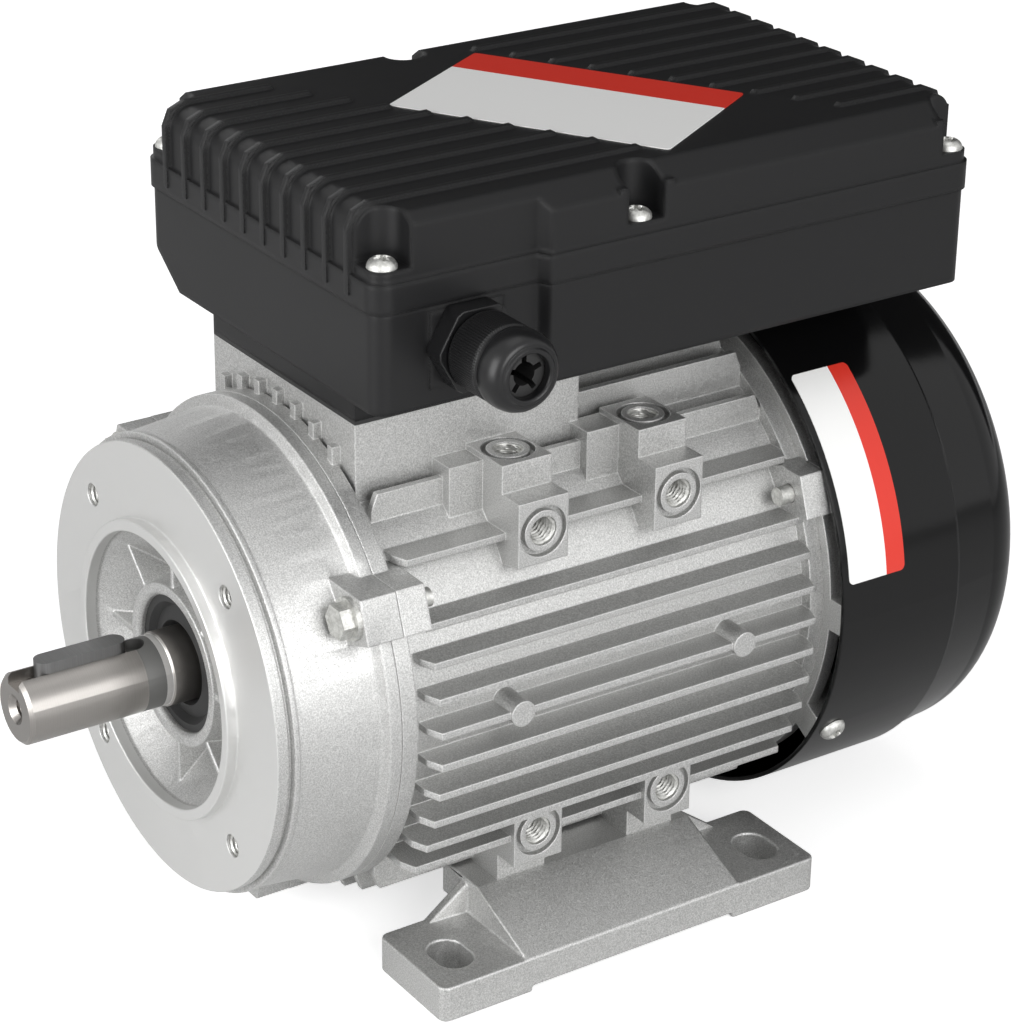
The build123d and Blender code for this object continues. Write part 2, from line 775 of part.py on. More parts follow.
def motor_shaft():
    """The stepped shaft with its keyway; the seam of its round faces is turned to stand beside the keyway."""
    front_y = shoulder_y - shaft_end_length
    core_y = core_front_y()
    rear_seat = rear_bearing_y
    c = shaft_chamfer
    body = turned(
        (0, front_y), (shaft_end_r - c, front_y), (shaft_end_r, front_y + c), (shaft_end_r, shoulder_y),
        (shaft_seat_r, shoulder_y + 0.5), (shaft_seat_r, front_bearing_y + bearing_width),
        (shaft_body_r, front_bearing_y + bearing_width), (shaft_body_r, core_y), (core_seat_r, core_y),
        (core_seat_r, core_y + core_length), (shaft_body_r, core_y + core_length), (shaft_body_r,
                                                                                    governor_y()),
        (shaft_seat_r, governor_y()), (shaft_seat_r, rear_seat + bearing_width + v_ring_width + 2),
        (fan_seat_r, rear_seat + bearing_width + v_ring_width + 2),
        (fan_seat_r, shaft_rear_y - c), (fan_seat_r - c, shaft_rear_y), (0, shaft_rear_y))
    body = around(body, shaft_seam_angle)
    slot = prism_z([(-key_width / 2, front_y - 1), (key_width / 2, front_y - 1),
                    (key_width / 2, keyway_end_y),
                    (-key_width / 2, keyway_end_y)], shaft_end_r - keyway_depth, shaft_end_r + 1)
    body = body - slot
    body = body - post(key_width / 2, shaft_end_r - keyway_depth, shaft_end_r + 1, 0, keyway_end_y)
    body = body - rod(centre_hole_r, front_y - 1, front_y + centre_hole_depth)
    cone = turned((0, front_y - 1), (centre_hole_r + 2.5, front_y - 1), (centre_hole_r, front_y + 1.6),
                  (0, front_y + 1.6))
    groove = ring(fan_seat_r - 0.6, fan_seat_r + 1, circlip_y(), circlip_y() + circlip_thickness + 0.1)
    return body - cone - groove


def core_front_y():
    return (frame_front_y + frame_rear_y - core_length) / 2


def governor_y():
    return core_front_y() + core_length + end_ring_width + 1.5


def circlip_y():
    return fan_y + fan_hub_length + 0.1


def shaft_key():
    """A parallel key with round ends, bedded in the open keyway."""
    rear = key_rear_y
    front = rear - key_length
    r = key_width / 2 - press_gap
    z0 = shaft_end_r - keyway_depth
    z1 = z0 + key_height
    return block(-r, r, front + r, rear - r, z0, z1) + post(r, z0, z1, 0, front + r) + post(r, z0, z1, 0,
                                                                                            rear - r)


def shaft_seal():
    lip = shaft_seat_r + running_gap
    y0, y1 = seal_y, seal_y + seal_width
    return turned((lip, y0 + 3), (lip + 1.4, y0 + 0.6), (seal_outer_r - 3.5, y0 + 1.8),
                  (seal_outer_r - 2, y0),
                  (seal_outer_r - press_gap, y0), (seal_outer_r - press_gap, y1), (lip + 2, y1), (lip,
                                                                                                  y1 - 2.5))


def bearing_inner(y):
    body = ring(bearing_bore_r + press_gap, bearing_inner_land_r, y, y + bearing_width)
    return body - ball_track(y)


def bearing_outer(y):
    body = ring(bearing_outer_land_r, bearing_outer_r - press_gap, y, y + bearing_width)
    return body - ball_track(y)


def ball_circle_r():
    return (bearing_bore_r + bearing_outer_r) / 2


def ball_track(y):
    return Pos(0, y + bearing_width / 2, 0) * Rot(90, 0, 0) * Torus(ball_circle_r(), ball_r + running_gap)


def balls(y):
    out = []
    for k in range(ball_count):
        x, z = polar(k * ball_angle_step, ball_circle_r())
        out.append(Pos(x, y + bearing_width / 2, z) * Sphere(ball_r))
    return out


def bearing_cage(y):
    mid = y + bearing_width / 2
    body = ring(ball_circle_r() - cage_wall, ball_circle_r() + cage_wall, mid - cage_width / 2,
                mid + cage_width / 2)
    pocket = peg(ball_r + 2 * running_gap, ball_circle_r() - 3, ball_circle_r() + 3, mid, 0)
    return cut(body, [around(pocket, k * ball_angle_step) for k in range(ball_count)])


def bearing_shields():
    out = []
    for y in (front_bearing_y, rear_bearing_y):
        for side in (y + 0.4, y + bearing_width - 0.4 - shield_plate):
            out.append(ring(bearing_inner_land_r + 0.3, bearing_outer_land_r, side, side + shield_plate))
    return out


def wave_washer():
    y = rear_bearing_y + bearing_width
    return ring(bearing_outer_r - 3.5, bearing_outer_r - 0.3, y + 0.1, y + 0.7)


def v_ring():
    y = rear_bearing_y + bearing_width + 1.5
    r = shaft_seat_r + press_gap
    return turned((r, y + 1.2), (r + 2, y + 1.2), (v_ring_r - 1, y + 0.3), (v_ring_r, y + 0.3),
                  (r + 3, y + 2.5), (r + 3, y + v_ring_width), (r, y + v_ring_width))


# Wound core and rotor

def stator_core():
    y0 = core_front_y()
    y1 = y0 + core_length
    body = ring(core_bore_r, core_r - press_gap, y0, y1)
    slot = block(core_bore_r + slot_lip, core_bore_r + slot_lip + slot_depth, y0 - 1, y1 + 1,
                 -slot_width / 2, slot_width / 2)
    opening = block(core_bore_r - 1, core_bore_r + slot_lip + 1, y0 - 1, y1 + 1,
                    -slot_open_width / 2, slot_open_width / 2)
    cutter = slot + opening
    return cut(body, [around(cutter, k * 360 / slot_count) for k in range(slot_count)])


def stator_winding():
    """Two rounded end bundles joined by the coil sides that lie in the slots."""
    y0 = core_front_y()
    y1 = y0 + core_length
    gap = winding_gap
    bundles = []
    for near, far in ((y0 - gap, y0 - winding_overhang), (y1 + gap, y1 + winding_overhang)):
        step = (far - near) / 4
        bundles.append(turned(
            (winding_inner_r + 1, near), (winding_inner_r, near + step), (winding_inner_r + 1.5, far - step),
            (winding_inner_r + 5, far), (winding_outer_r - 5, far), (winding_outer_r - 1, far - step),
            (winding_outer_r, near + step), (winding_outer_r - 4, near)))
    side = block(winding_inner_r + 1.6, core_bore_r + slot_lip + slot_depth - gap, y0 - 2, y1 + 2,
                 -slot_width / 2 + gap, slot_width / 2 - gap)
    return fuse(bundles[0] + bundles[1], [around(side, k * 360 / slot_count) for k in range(slot_count)])


def rotor_core():
    y0 = core_front_y()
    return ring(core_seat_r + press_gap, core_bore_r - air_gap, y0, y0 + core_length)


def rotor_end_rings():
    """Cast end rings of the rotor cage, each with stub blades that stir the air."""
    out = []
    y0 = core_front_y()
    y1 = y0 + core_length
    for near, far in ((y0, y0 - end_ring_width), (y1, y1 + end_ring_width)):
        low, high = min(near, far), max(near, far)
        body = ring(end_ring_inner_r, core_bore_r - air_gap - 1, low, high)
        tip = far + (far - near) * 0.5
        low, high = min(far, tip), max(far, tip)
        blade = block(core_bore_r - end_ring_blade_depth, core_bore_r - 2, low, high, -1, 1)
        if near == y0:
            step = 360 / end_ring_blade_count
            body = fuse(body, [around(blade, k * step) for k in range(end_ring_blade_count)])
        out.append(body)
    return out


# Governor: a plate on the shaft, two hinged weights and the sleeve that they push

def weight_pin_y():
    return governor_y() + weight_pin_stand


def governor_plate():
    y = governor_y()
    body = ring(shaft_seat_r + press_gap, governor_plate_r, y, y + governor_plate_thickness)
    lug_x = weight_half_width + 0.4
    for side in (-1, 1):
        z = side * weight_axis_z
        for way in (-1, 1):
            x0, x1 = sorted((way * lug_x, way * (lug_x + 1.5)))
            body = body + block(x0, x1, y + 0.5, weight_pin_y() + 2, z - 2, z + 2)
        body = body + peg(weight_pin_r, -lug_x - 1, lug_x + 1, weight_pin_y(), z)
    return body


def governor_weight(side):
    y0 = governor_y() + governor_plate_thickness + weight_gap
    z = side * weight_axis_z
    body = block(-weight_half_width, weight_half_width, y0, y0 + weight_length,
                 z - weight_height / 2, z + weight_height / 2)
    return body - peg(weight_pin_r + running_gap, -weight_half_width - 1, weight_half_width + 1,
                      weight_pin_y(), z)


def governor_sleeve():
    y = governor_y() + governor_plate_thickness + sleeve_travel + 1.0
    r = shaft_seat_r + running_gap
    return turned((r, y), (sleeve_r, y), (sleeve_r, y + sleeve_length - 1.5),
                  (sleeve_r + 2, y + sleeve_length - 1.5),
                  (sleeve_r + 2, y + sleeve_length), (r, y + sleeve_length))


def switch_plate():
    """The fixed contact plate of the starting switch, screwed to the rear endshield."""
    y1 = switch_plate_rear_y()
    y0 = y1 - switch_plate_thickness
    body = ring(switch_inner_r, switch_outer_r, y0, y1) - block(-switch_outer_r - 1, switch_outer_r + 1,
                                                                y0 - 1, y1 + 1,
                                                           -switch_outer_r - 1, switch_cut_z)
    sleeve_end = governor_y() + governor_plate_thickness + sleeve_travel + 1.0 + sleeve_length
    body = body + block(-switch_block_half, switch_block_half, sleeve_end + 0.3, y0 + 0.5,
                        switch_outer_r - 12, switch_outer_r - 3)
    body = body + block(-switch_finger_half, switch_finger_half, sleeve_end + 0.3, sleeve_end + 1.1,
                        sleeve_r - 1, switch_outer_r - 11)
    return cut(body, [rod(switch_screw_r + screw_gap, y0 - 1, y1 + 1, side * switch_post_x,
                          0) for side in (-1, 1)])


def switch_screws():
    y1 = switch_plate_rear_y()
    y0 = y1 - switch_plate_thickness
    return [rod(switch_screw_head_r, y0 - switch_screw_head_height, y0, side * switch_post_x, 0) +
            rod(switch_screw_r - press_gap, y0 - 1, y1 + switch_screw_reach, side * switch_post_x,
                0) for side in (-1, 1)]


# Fan and cowl

def cooling_fan():
    hub = ring(fan_seat_r + press_gap, fan_hub_r, fan_y, fan_y + fan_hub_length)
    plate = ring(fan_hub_r - 1, fan_r, fan_y, fan_y + fan_plate_thickness)
    blade = block(fan_hub_r - 1, fan_r, fan_y + 0.5, fan_y + fan_blade_width,
                  -fan_blade_thickness / 2, fan_blade_thickness / 2)
    blade = blade - prism_z([(fan_r - fan_blade_corner_r, fan_y + fan_blade_width + 1),
                             (fan_r + 1, fan_y + fan_blade_width + 1),
                             (fan_r + 1, fan_y + fan_blade_width - fan_blade_corner_y)], -5, 5)
    return fuse(hub + plate, [around(blade, k * 360 / fan_blade_count) for k in range(fan_blade_count)])


def fan_circlip():
    y = circlip_y()
    body = ring(fan_seat_r - 0.55, fan_seat_r + circlip_width, y, y + circlip_thickness)
    return body - block(-2, 2, y - 1, y + circlip_thickness + 1, 0, fan_seat_r + 10)


def cowl_profile(inset):
    """Corners of the cowl's outline, from its mouth to the axis, moved in by the wall."""
    return [(cowl_outer_r - inset, cowl_front_y), (cowl_outer_r - inset, cowl_crease_y),
            (cowl_outer_r - cowl_crease - inset, cowl_crease_y + cowl_crease),
            (cowl_taper_r - inset, cowl_taper_y)]


def fan_cowl():
    corner_r = cowl_taper_r - cowl_corner
    solids = []
    for inset in (0.0, cowl_wall):
        side = cowl_profile(inset)
        rear = cowl_rear_y - inset
        bend = cowl_corner - inset
        mid = (corner_r + bend * cos(pi / 4), rear - (rear - cowl_taper_y) * (1 - sin(pi / 4)))
        edges = Polyline((0, cowl_front_y - (1 if inset else 0)),
                         (side[0][0], cowl_front_y - (1 if inset else 0)),
                         *side[1:]) + ThreePointArc(side[-1], mid, (corner_r, rear)) + \
            Polyline((corner_r, rear), (0, rear), (0, cowl_front_y - (1 if inset else 0)))
        solids.append(revolve(make_face(edges), Axis.Y))
    body = solids[0] - solids[1]
    for k in range(grille_ring_count):
        r0 = grille_first_r + k * grille_ring_pitch
        slot_ring = ring(r0, r0 + grille_slot_width, cowl_rear_y - 4, cowl_rear_y + 2)
        for n in range(grille_sector_count // 2):
            spoke = block(-cowl_outer_r, cowl_outer_r, cowl_rear_y - 6, cowl_rear_y + 4,
                          -grille_rib / 2, grille_rib / 2)
            slot_ring = slot_ring - around(spoke, n * 360 / grille_sector_count)
        body = body - slot_ring
    hole = peg(cowl_screw_r + screw_gap, cowl_outer_r - 8, cowl_outer_r + 2, cowl_screw_y, 0)
    return cut(body, [around(hole, angle) for angle in cowl_screw_angles()])


def cowl_screws():
    out = []
    for angle in cowl_screw_angles():
        shank = peg(cowl_screw_r - press_gap, cowl_outer_r - cowl_screw_length, cowl_outer_r + 1,
                    cowl_screw_y, 0)
        head = peg(cowl_screw_head_r, cowl_outer_r + seat_gap, cowl_outer_r + cowl_screw_head_height,
                   cowl_screw_y, 0)
        out.append(around(shank + fillet(head.faces().sort_by(Axis.X)[-1].edges(), 1.2), angle))
    return out


# Terminal box

def box_outline(inset, chamfered=False):
    """Plan of the box, moved in by the inset: narrow by the gland, wider behind."""
    a = box_half_width - inset
    b = box_half_width + box_jog - inset
    y0 = box_front_y + inset
    y1 = box_front_y + box_length - inset
    jog = box_jog_y + inset
    return [(-a, y0), (a, y0), (a, jog), (b, jog + box_jog / 2), (b, y1), (-a, y1)]


def rounded_box(inset, z0, z1, r):
    body = prism_z(box_outline(inset), z0, z1)
    corners = body.edges().filter_by(Axis.Z).filter_by(lambda e: abs(e.center().Y - box_jog_y) > 10)
    return fillet(corners, max(r - inset, 0.6))


def rounded_length(inset, z0, z1, r):
    """Side view of the box with its two upper ends rounded, as a wide bar."""
    y0, y1 = box_front_y + inset, box_front_y + box_length - inset
    bend = r * (1 - sin(pi / 4))
    edges = Polyline((y0, z1 - r), (y0, z0), (y1, z0), (y1, z1 - r)) + \
        ThreePointArc((y1, z1 - r), (y1 - bend, z1 - bend), (y1 - r, z1)) + Line((y1 - r, z1),
                                                                                 (y0 + r, z1)) + \
        ThreePointArc((y0 + r, z1), (y0 + bend, z1 - bend), (y0, z1 - r))
    return extrude(Plane.YZ.offset(-box_half_width - 20) * make_face(edges), amount=2 * box_half_width + 40)


def terminal_box_base():
    shell_top = box_seam_z
    outer = rounded_box(box_lip, box_bottom_z, shell_top, box_corner_r)
    y0, y1 = box_front_y - 1, box_front_y + box_length + 1
    low_left = prism_y([(-box_half_width - 1, box_bottom_z - 1),
                        (-box_half_width + box_chamfer_x, box_bottom_z - 1),
                        (-box_half_width + box_chamfer_x, box_bottom_z),
                        (-box_half_width - 1, box_bottom_z + box_chamfer_z)], y0, y1)
    outer = outer - low_left
    inner = rounded_box(box_lip + box_wall, box_bottom_z + box_wall, shell_top + 1, box_corner_r)
    shift = box_wall * 0.5
    inner = inner - prism_y([(-box_half_width - 1, box_bottom_z - 1),
                             (-box_half_width + box_chamfer_x + shift + 3, box_bottom_z - 1),
                             (-box_half_width + box_chamfer_x + shift + 3, box_bottom_z + box_wall),
                             (-box_half_width - 1, box_bottom_z + box_chamfer_z + box_wall + 2)], y0, y1)
    body = outer - inner
    foot_z = platform_top_z + box_gasket
    half = platform_half_width
    pedestal = block(-half, half, platform_front_y, platform_rear_y, foot_z, box_bottom_z + box_wall)
    hollow = block(-half + box_wall, half - box_wall, platform_front_y + box_wall, platform_rear_y - box_wall,
                   foot_z + pedestal_floor, box_bottom_z + box_wall + 1)
    body = body + pedestal - hollow
    body = body - lead_window(foot_z - 1, foot_z + pedestal_floor + 1)
    body = cut(body, [post(base_screw_r + screw_gap, foot_z - 1, foot_z + pedestal_floor + 1, x, y) for x,
                      y in base_screw_places()])
    pad_x = box_half_width - box_lip
    body = body + block(pad_x - 1, pad_x + gland_pad, gland_y - gland_pad_half, gland_y + gland_pad_half,
                        gland_z - gland_pad_half, gland_z + gland_pad_half - 1)
    body = body - peg(gland_thread_r + screw_gap, pad_x - 8, pad_x + 4, gland_y, gland_z)
    for x, y in cover_screw_places():
        body = body + (post(cover_post_r, box_bottom_z + 1, shell_top - 0.4, x, y) & outer)
    body = cut(body, [post(cover_screw_r, shell_top - cover_screw_depth, shell_top + 1, x, y) for x,
                      y in cover_screw_places()])
    return body


def cover_screw_places():
    inset = pocket_inset
    narrow = box_half_width - inset
    wide = box_half_width + box_jog - inset
    y0 = box_front_y + inset
    y1 = box_front_y + box_length - inset
    return [(narrow, y0), (-narrow, y0), (wide, middle_pocket_y), (-narrow, middle_pocket_y), (wide, y1),
            (-narrow, y1)]


def terminal_box_cover():
    z0 = box_seam_z
    lip = rounded_box(0.0, z0, box_lip_top_z, box_corner_r)
    upper = rounded_box(box_lip, box_lip_top_z - 0.5, box_top_z, box_corner_r)
    edge = box_lip
    x0 = box_half_width - edge
    x1 = x0 + box_jog
    y0 = box_front_y - 1
    y1 = box_front_y + box_length + 1
    slope = (box_top_z - box_shoulder_z) / box_top_inset
    right = prism_y([(x0 - box_top_inset, box_top_z),
                     (x1 + 1, box_top_z - slope * (box_jog + box_top_inset + 1)),
                     (x1 + 1, box_top_z + 1), (x0 - box_top_inset, box_top_z + 1)], y0, y1)
    left = prism_y([(-x0 + box_top_inset, box_top_z), (-x0 - 1, box_top_z - slope * (box_top_inset + 1)),
                    (-x0 - 1, box_top_z + 1), (-x0 + box_top_inset, box_top_z + 1)], y0, y1)
    upper = upper - right - left
    upper = upper & rounded_length(box_lip, box_lip_top_z - 1, box_top_z, box_edge_r)
    body = lip + upper
    wall = box_wall
    inner = rounded_box(edge + wall, z0 - 1, box_top_z - wall - 2, box_corner_r)
    body = body - inner
    body = fuse(body, [post(cover_post_r, z0 + 0.4, pocket_floor_z - 0.5, x, y) & upper_envelope()
                       for x, y in cover_screw_places()])
    pockets, housings = [], []
    for x, y in cover_screw_places():
        side = 1 if x > 0 else -1
        reach_x = side * (abs(x) + pocket_reach)
        xs = sorted((x, reach_x))
        top = box_top_z + 3
        pocket = post(pocket_r, pocket_floor_z, top, x, y)
        pocket = pocket + block(xs[0], xs[1], y - pocket_r, y + pocket_r, pocket_floor_z, top)
        if y < box_jog_y:
            pocket = pocket + block(min(x - pocket_r, reach_x), max(x + pocket_r, reach_x),
                                    y - pocket_reach, y,
                                    pocket_floor_z, top)
            pocket = pocket + block(xs[0], xs[1], y - pocket_reach, y + pocket_r, pocket_floor_z, top)
        if y > box_front_y + box_length - pocket_reach:
            pocket = pocket + block(min(x - pocket_r, reach_x), max(x + pocket_r, reach_x), y,
                                    y + pocket_reach,
                                    pocket_floor_z, top)
        pockets.append(pocket)
        housing = post(pocket_r + wall, pocket_floor_z - wall, box_top_z - wall - 1, x, y)
        housing = housing + block(min(x, x + side * housing_reach), max(x, x + side * housing_reach),
                                  y - pocket_r - wall, y + pocket_r + wall,
                                  pocket_floor_z - wall, box_top_z - wall - 1)
        if y < box_jog_y or y > box_front_y + box_length - pocket_reach:
            way = -1 if y < box_jog_y else 1
            housing = housing + block(x - pocket_r - wall, x + pocket_r + wall,
                                      min(y, y + way * housing_reach), max(y, y + way * housing_reach),
                                      pocket_floor_z - wall, box_top_z - wall - 1)
        housings.append(housing & upper_envelope())
    body = fuse(body, housings)
    body = fuse(body, cover_ribs())
    body = cut(body, pockets)
    body = cut(body, [post(cover_screw_r + screw_gap, z0 - 1, pocket_floor_z + 1, x, y)
                      for x, y in cover_screw_places()])
    return body - gasket_band(z0 - 1, z0 + cover_gasket_thickness)


def upper_envelope():
    return rounded_box(box_lip, box_seam_z, box_top_z - box_wall, box_corner_r)


def rib_places():
    return [(k - (rib_count - 1) / 2) * rib_pitch for k in range(rib_count)]


def cover_ribs():
    """Ribs along the cover that wrap down its two ends, parted by a slanting smooth band."""
    out = []
    y_front = box_front_y + box_lip
    y_rear = box_front_y + box_length - box_lip
    top = box_top_z + rib_height * 0.6
    for k, x in enumerate(rib_places()):
        stop = rib_first_end_y + k * rib_end_step
        start = stop + rib_band
        out.append(cover_rib(x, y_front - rib_height * 0.75, stop, top, -1))
        out.append(cover_rib(x, start, y_rear + rib_height * 0.75, top, 1))
    return out


def cover_rib(x, y0, y1, top, way):
    """One rib; way says at which end it wraps down the face."""
    sunk = box_top_z - 1.2
    r = box_edge_r
    if way < 0:
        outline = [(y0, rib_bottom_z), (y0, top - r), (y0 + r * 0.3, top - r * 0.3), (y0 + r, top),
                   (y1 - 1, top),
                   (y1, top - 1), (y1, sunk), (y0 + r + 2, sunk), (y0 + 3, sunk - r), (y0 + 3, rib_bottom_z)]
    else:
        outline = [(y1, rib_bottom_z), (y1, top - r), (y1 - r * 0.3, top - r * 0.3), (y1 - r, top),
                   (y0 + 1, top),
                   (y0, top - 1), (y0, sunk), (y1 - r - 2, sunk), (y1 - 3, sunk - r), (y1 - 3, rib_bottom_z)]
    return prism_x(outline, x - rib_thickness / 2, x + rib_thickness / 2)


def cover_screws():
    out = []
    for x, y in cover_screw_places():
        head = post(cover_screw_head_r, pocket_floor_z, pocket_floor_z + cover_screw_head_height, x, y)
        head = fillet(head.faces().sort_by(Axis.Z)[-1].edges(), 1.4)
        out.append(head + post(cover_screw_r - press_gap, box_seam_z - cover_screw_depth + 2,
                               pocket_floor_z + 1, x, y))
    return out


def box_gasket_sheet():
    half = platform_half_width
    z0, z1 = platform_top_z, platform_top_z + box_gasket
    sheet = block(-half, half, platform_front_y, platform_rear_y, z0, z1) - lead_window(z0 - 1, z1 + 1)
    return cut(sheet, [post(base_screw_r + screw_gap, z0 - 1, z1 + 1, x, y) for x, y in base_screw_places()])


def cover_gasket():
    """A soft cord in the groove between the two halves of the box."""
    return gasket_band(box_seam_z, box_seam_z + cover_gasket_thickness)


def gasket_band(z0, z1):
    inset = box_lip + 0.6
    return rounded_box(inset, z0, z1, box_corner_r) - rounded_box(inset + 1.4, z0 - 1, z1 + 1, box_corner_r)


def base_screws():
    """Pan-head screws that hold the box down on the frame's platform."""
    floor = platform_top_z + box_gasket + pedestal_floor
    return [post(base_screw_head_r, floor, floor + base_screw_head_height, x, y) +
            post(base_screw_r - press_gap, platform_top_z - 8, floor + 1, x,
                 y) for x, y in base_screw_places()]


# Cable gland

def gland_seat_x():
    return box_half_width - box_lip + gland_pad


def gland_body():
    x = gland_seat_x()
    inner = gland_thread_r - gland_wall
    body = hexagon_x(gland_hex_flats, x, x + gland_hex_height, gland_y, gland_z)
    body = body & peg(gland_hex_flats / 2 + 1.1, x, x + gland_hex_height, gland_y, gland_z)
    body = body + peg(gland_thread_r, x - gland_tail_length, x + gland_hex_height + gland_thread_length,
                      gland_y, gland_z)
    return body - peg(inner, x - gland_tail_length - 1, x + gland_hex_height + gland_thread_length + 1,
                      gland_y, gland_z)


def gland_locknut():
    x = gland_seat_x() - gland_pad - box_wall
    nut = hexagon_x(gland_hex_flats, x - gland_nut_height - 0.2, x - 0.2, gland_y, gland_z)
    return nut - peg(gland_thread_r + press_gap, x - 6, x + 1, gland_y, gland_z)


def gland_seal():
    x0 = gland_seat_x() + gland_hex_height + gland_thread_length + 0.2
    x1 = x0 + 9.0
    body = peg(gland_hole_r + gland_bush_wall, x0, x1, gland_y, gland_z) - peg(gland_seal_hole_r, x0 - 1,
                                                                               x1 + 1, gland_y, gland_z)
    notch = block(x0 - 1, x1 + 1, gland_y - 0.7, gland_y + 0.7, gland_z, gland_z + gland_hole_r - 0.6)
    axis = Axis((0, gland_y, gland_z), (1, 0, 0))
    return cut(body, [notch.rotate(axis, k * 360 / gland_notch_count) for k in range(gland_notch_count)])


def gland_cap():
    x0 = gland_seat_x() + gland_hex_height + 0.6
    x1 = x0 + gland_cap_length
    body = peg(gland_cap_r, x0, x1, gland_y, gland_z)
    body = fillet(body.faces().sort_by(Axis.X)[-1].edges(), gland_dome_r * 0.6)
    body = body - peg(gland_thread_r + press_gap, x0 - 1, x0 + gland_thread_length + 1, gland_y, gland_z)
    body = body - peg(gland_hole_r + gland_bush_wall + press_gap, x0 + gland_thread_length - 1, x1 - 2.5,
                      gland_y, gland_z)
    return body - peg(gland_hole_r, x0, x1 + 1, gland_y, gland_z)


# Inside the terminal box

def box_floor_z():
    return box_bottom_z + box_wall


def board_z():
    return box_floor_z() + board_stand


def stud_places():
    xs = [(k - (stud_count - 1) / 2) * stud_pitch_x for k in range(stud_count)]
    return [(x, board_y + way * stud_pitch_y / 2) for x in xs for way in (-1, 1)]


def terminal_board():
    z0 = board_z()
    z1 = z0 + board_thickness
    half_x, half_y = board_width / 2, board_length / 2
    body = block(-half_x, half_x, board_y - half_y, board_y + half_y, z0, z1)
    leg_z = platform_top_z + box_gasket + pedestal_floor
    for x in (-half_x + 4, half_x - 4):
        for y in (board_y + half_y - 4, board_y + 2):
            body = body + post(board_leg_r, leg_z, z0 + 0.5, x, y)
    return cut(body, [post(stud_r + press_gap, z0 - 1, z1 + 1, x, y) for x, y in stud_places()])


def terminal_studs():
    z0 = board_z() - stud_tail
    return [post(stud_r, z0, z0 + stud_length, x, y) for x, y in stud_places()]


def terminal_nuts():
    out = []
    for x, y in stud_places():
        for z in (board_z() + board_thickness, board_z() + board_thickness + nut_height + link_thickness):
            nut = hexagon_z(nut_flats, z, z + nut_height, x, y)
            out.append(nut - post(stud_r + press_gap, z - 1, z + nut_height + 1, x, y))
    return out


def terminal_links():
    """Flat brass links that join pairs of studs."""
    z = board_z() + board_thickness + nut_height
    out = []
    xs = sorted({x for x, y in stud_places()})
    for x in xs[:2]:
        strap = block(x - link_width / 2, x + link_width / 2, board_y - stud_pitch_y / 2 - 4,
                      board_y + stud_pitch_y / 2 + 4, z, z + link_thickness)
        out.append(cut(strap, [post(stud_r + press_gap, z - 1, z + 2, px, py) for px, py in stud_places()]))
    return out


def capacitor_places():
    """Each capacitor's x, z, radius and length; both lie along the box."""
    z0 = box_floor_z() + clamp_thickness
    rear = box_front_y + box_length - capacitor_rear_gap
    return [(start_capacitor_x, z0 + start_capacitor_r, start_capacitor_r, start_capacitor_length, rear),
            (run_capacitor_x, z0 + run_capacitor_r, run_capacitor_r, run_capacitor_length, rear)]


def capacitor(index):
    x, z, r, length, rear = capacitor_places()[index]
    can = rod(r, rear - length, rear, x, z)
    can = fillet(can.edges().filter_by(GeomType.CIRCLE), 1.5)
    tabs = [block(x + side * capacitor_tab_x - 0.4, x + side * capacitor_tab_x + 0.4,
                  rear - length - capacitor_tab_length, rear - length + 1, z - 3, z + 3)
            for side in (-1, 1)]
    return fuse(can, tabs)


def capacitor_clamps():
    """A sheet-metal strap round each capacitor, standing on the floor of the box."""
    out = []
    for x, z, r, length, rear in capacitor_places():
        y0 = rear - length / 2 - clamp_width / 2
        y1 = y0 + clamp_width
        band = rod(r + clamp_thickness, y0, y1, x, z) - rod(r + press_gap, y0 - 1, y1 + 1, x, z)
        tab = block(x + r - 2, x + r + clamp_foot, y0, y1, z - r - clamp_thickness, z - r)
        out.append(band + (tab - rod(r + press_gap, y0 - 1, y1 + 1, x, z)))
    return out


save("front_endshield", front_endshield())
save("stator_frame", stator_frame())
save("rear_endshield", rear_endshield())
save("foot_right", foot())
save("foot_left", mirror(foot(), Plane.YZ))
save("foot_screws", foot_screws())
save("front_ear_screws", ear_screws(ear_front_shield_y, 1,
                                    frame_front_y + ear_thickness + ear_screw_tip - ear_front_shield_y))
save("rear_ear_screws", ear_screws(frame_rear_y + ear_thickness - 1, -1,
                                   2 * ear_thickness - 1 + ear_screw_tip))
save("motor_shaft", motor_shaft())
save("shaft_key", shaft_key())
save("shaft_seal", shaft_seal())
save("rear_v_ring", v_ring())
for end, place in (("front", front_bearing_y), ("rear", rear_bearing_y)):
    save(end + "_bearing_inner_ring", bearing_inner(place))
    save(end + "_bearing_outer_ring", bearing_outer(place))
    save(end + "_bearing_balls", balls(place))
    save(end + "_bearing_cage", bearing_cage(place))
save("bearing_shields", bearing_shields())
save("wave_washer", wave_washer())
save("stator_core", stator_core())
save("stator_winding", stator_winding())
save("rotor_core", rotor_core())
save("rotor_end_rings", rotor_end_rings())
save("governor_plate", governor_plate())
save("governor_weight_upper", governor_weight(1))
save("governor_weight_lower", governor_weight(-1))
save("governor_sleeve", governor_sleeve())
save("switch_plate", switch_plate())
save("switch_screws", switch_screws())
save("cooling_fan", cooling_fan())
save("fan_circlip", fan_circlip())
save("fan_cowl", fan_cowl())
save("cowl_screws", cowl_screws())
save("terminal_box_base", terminal_box_base())
save("terminal_box_gasket", box_gasket_sheet())
save("terminal_box_cover", terminal_box_cover())
save("cover_gasket", cover_gasket())
save("cover_screws", cover_screws())
save("base_screws", base_screws())
save("gland_body", gland_body())
save("gland_locknut", gland_locknut())
save("gland_seal", gland_seal())
save("gland_cap", gland_cap())
save("terminal_board", terminal_board())
save("terminal_studs", terminal_studs())
save("terminal_nuts", terminal_nuts())
save("terminal_links", terminal_links())
save("start_capacitor", capacitor(0))
save("run_capacitor", capacitor(1))
save("capacitor_clamps", capacitor_clamps())
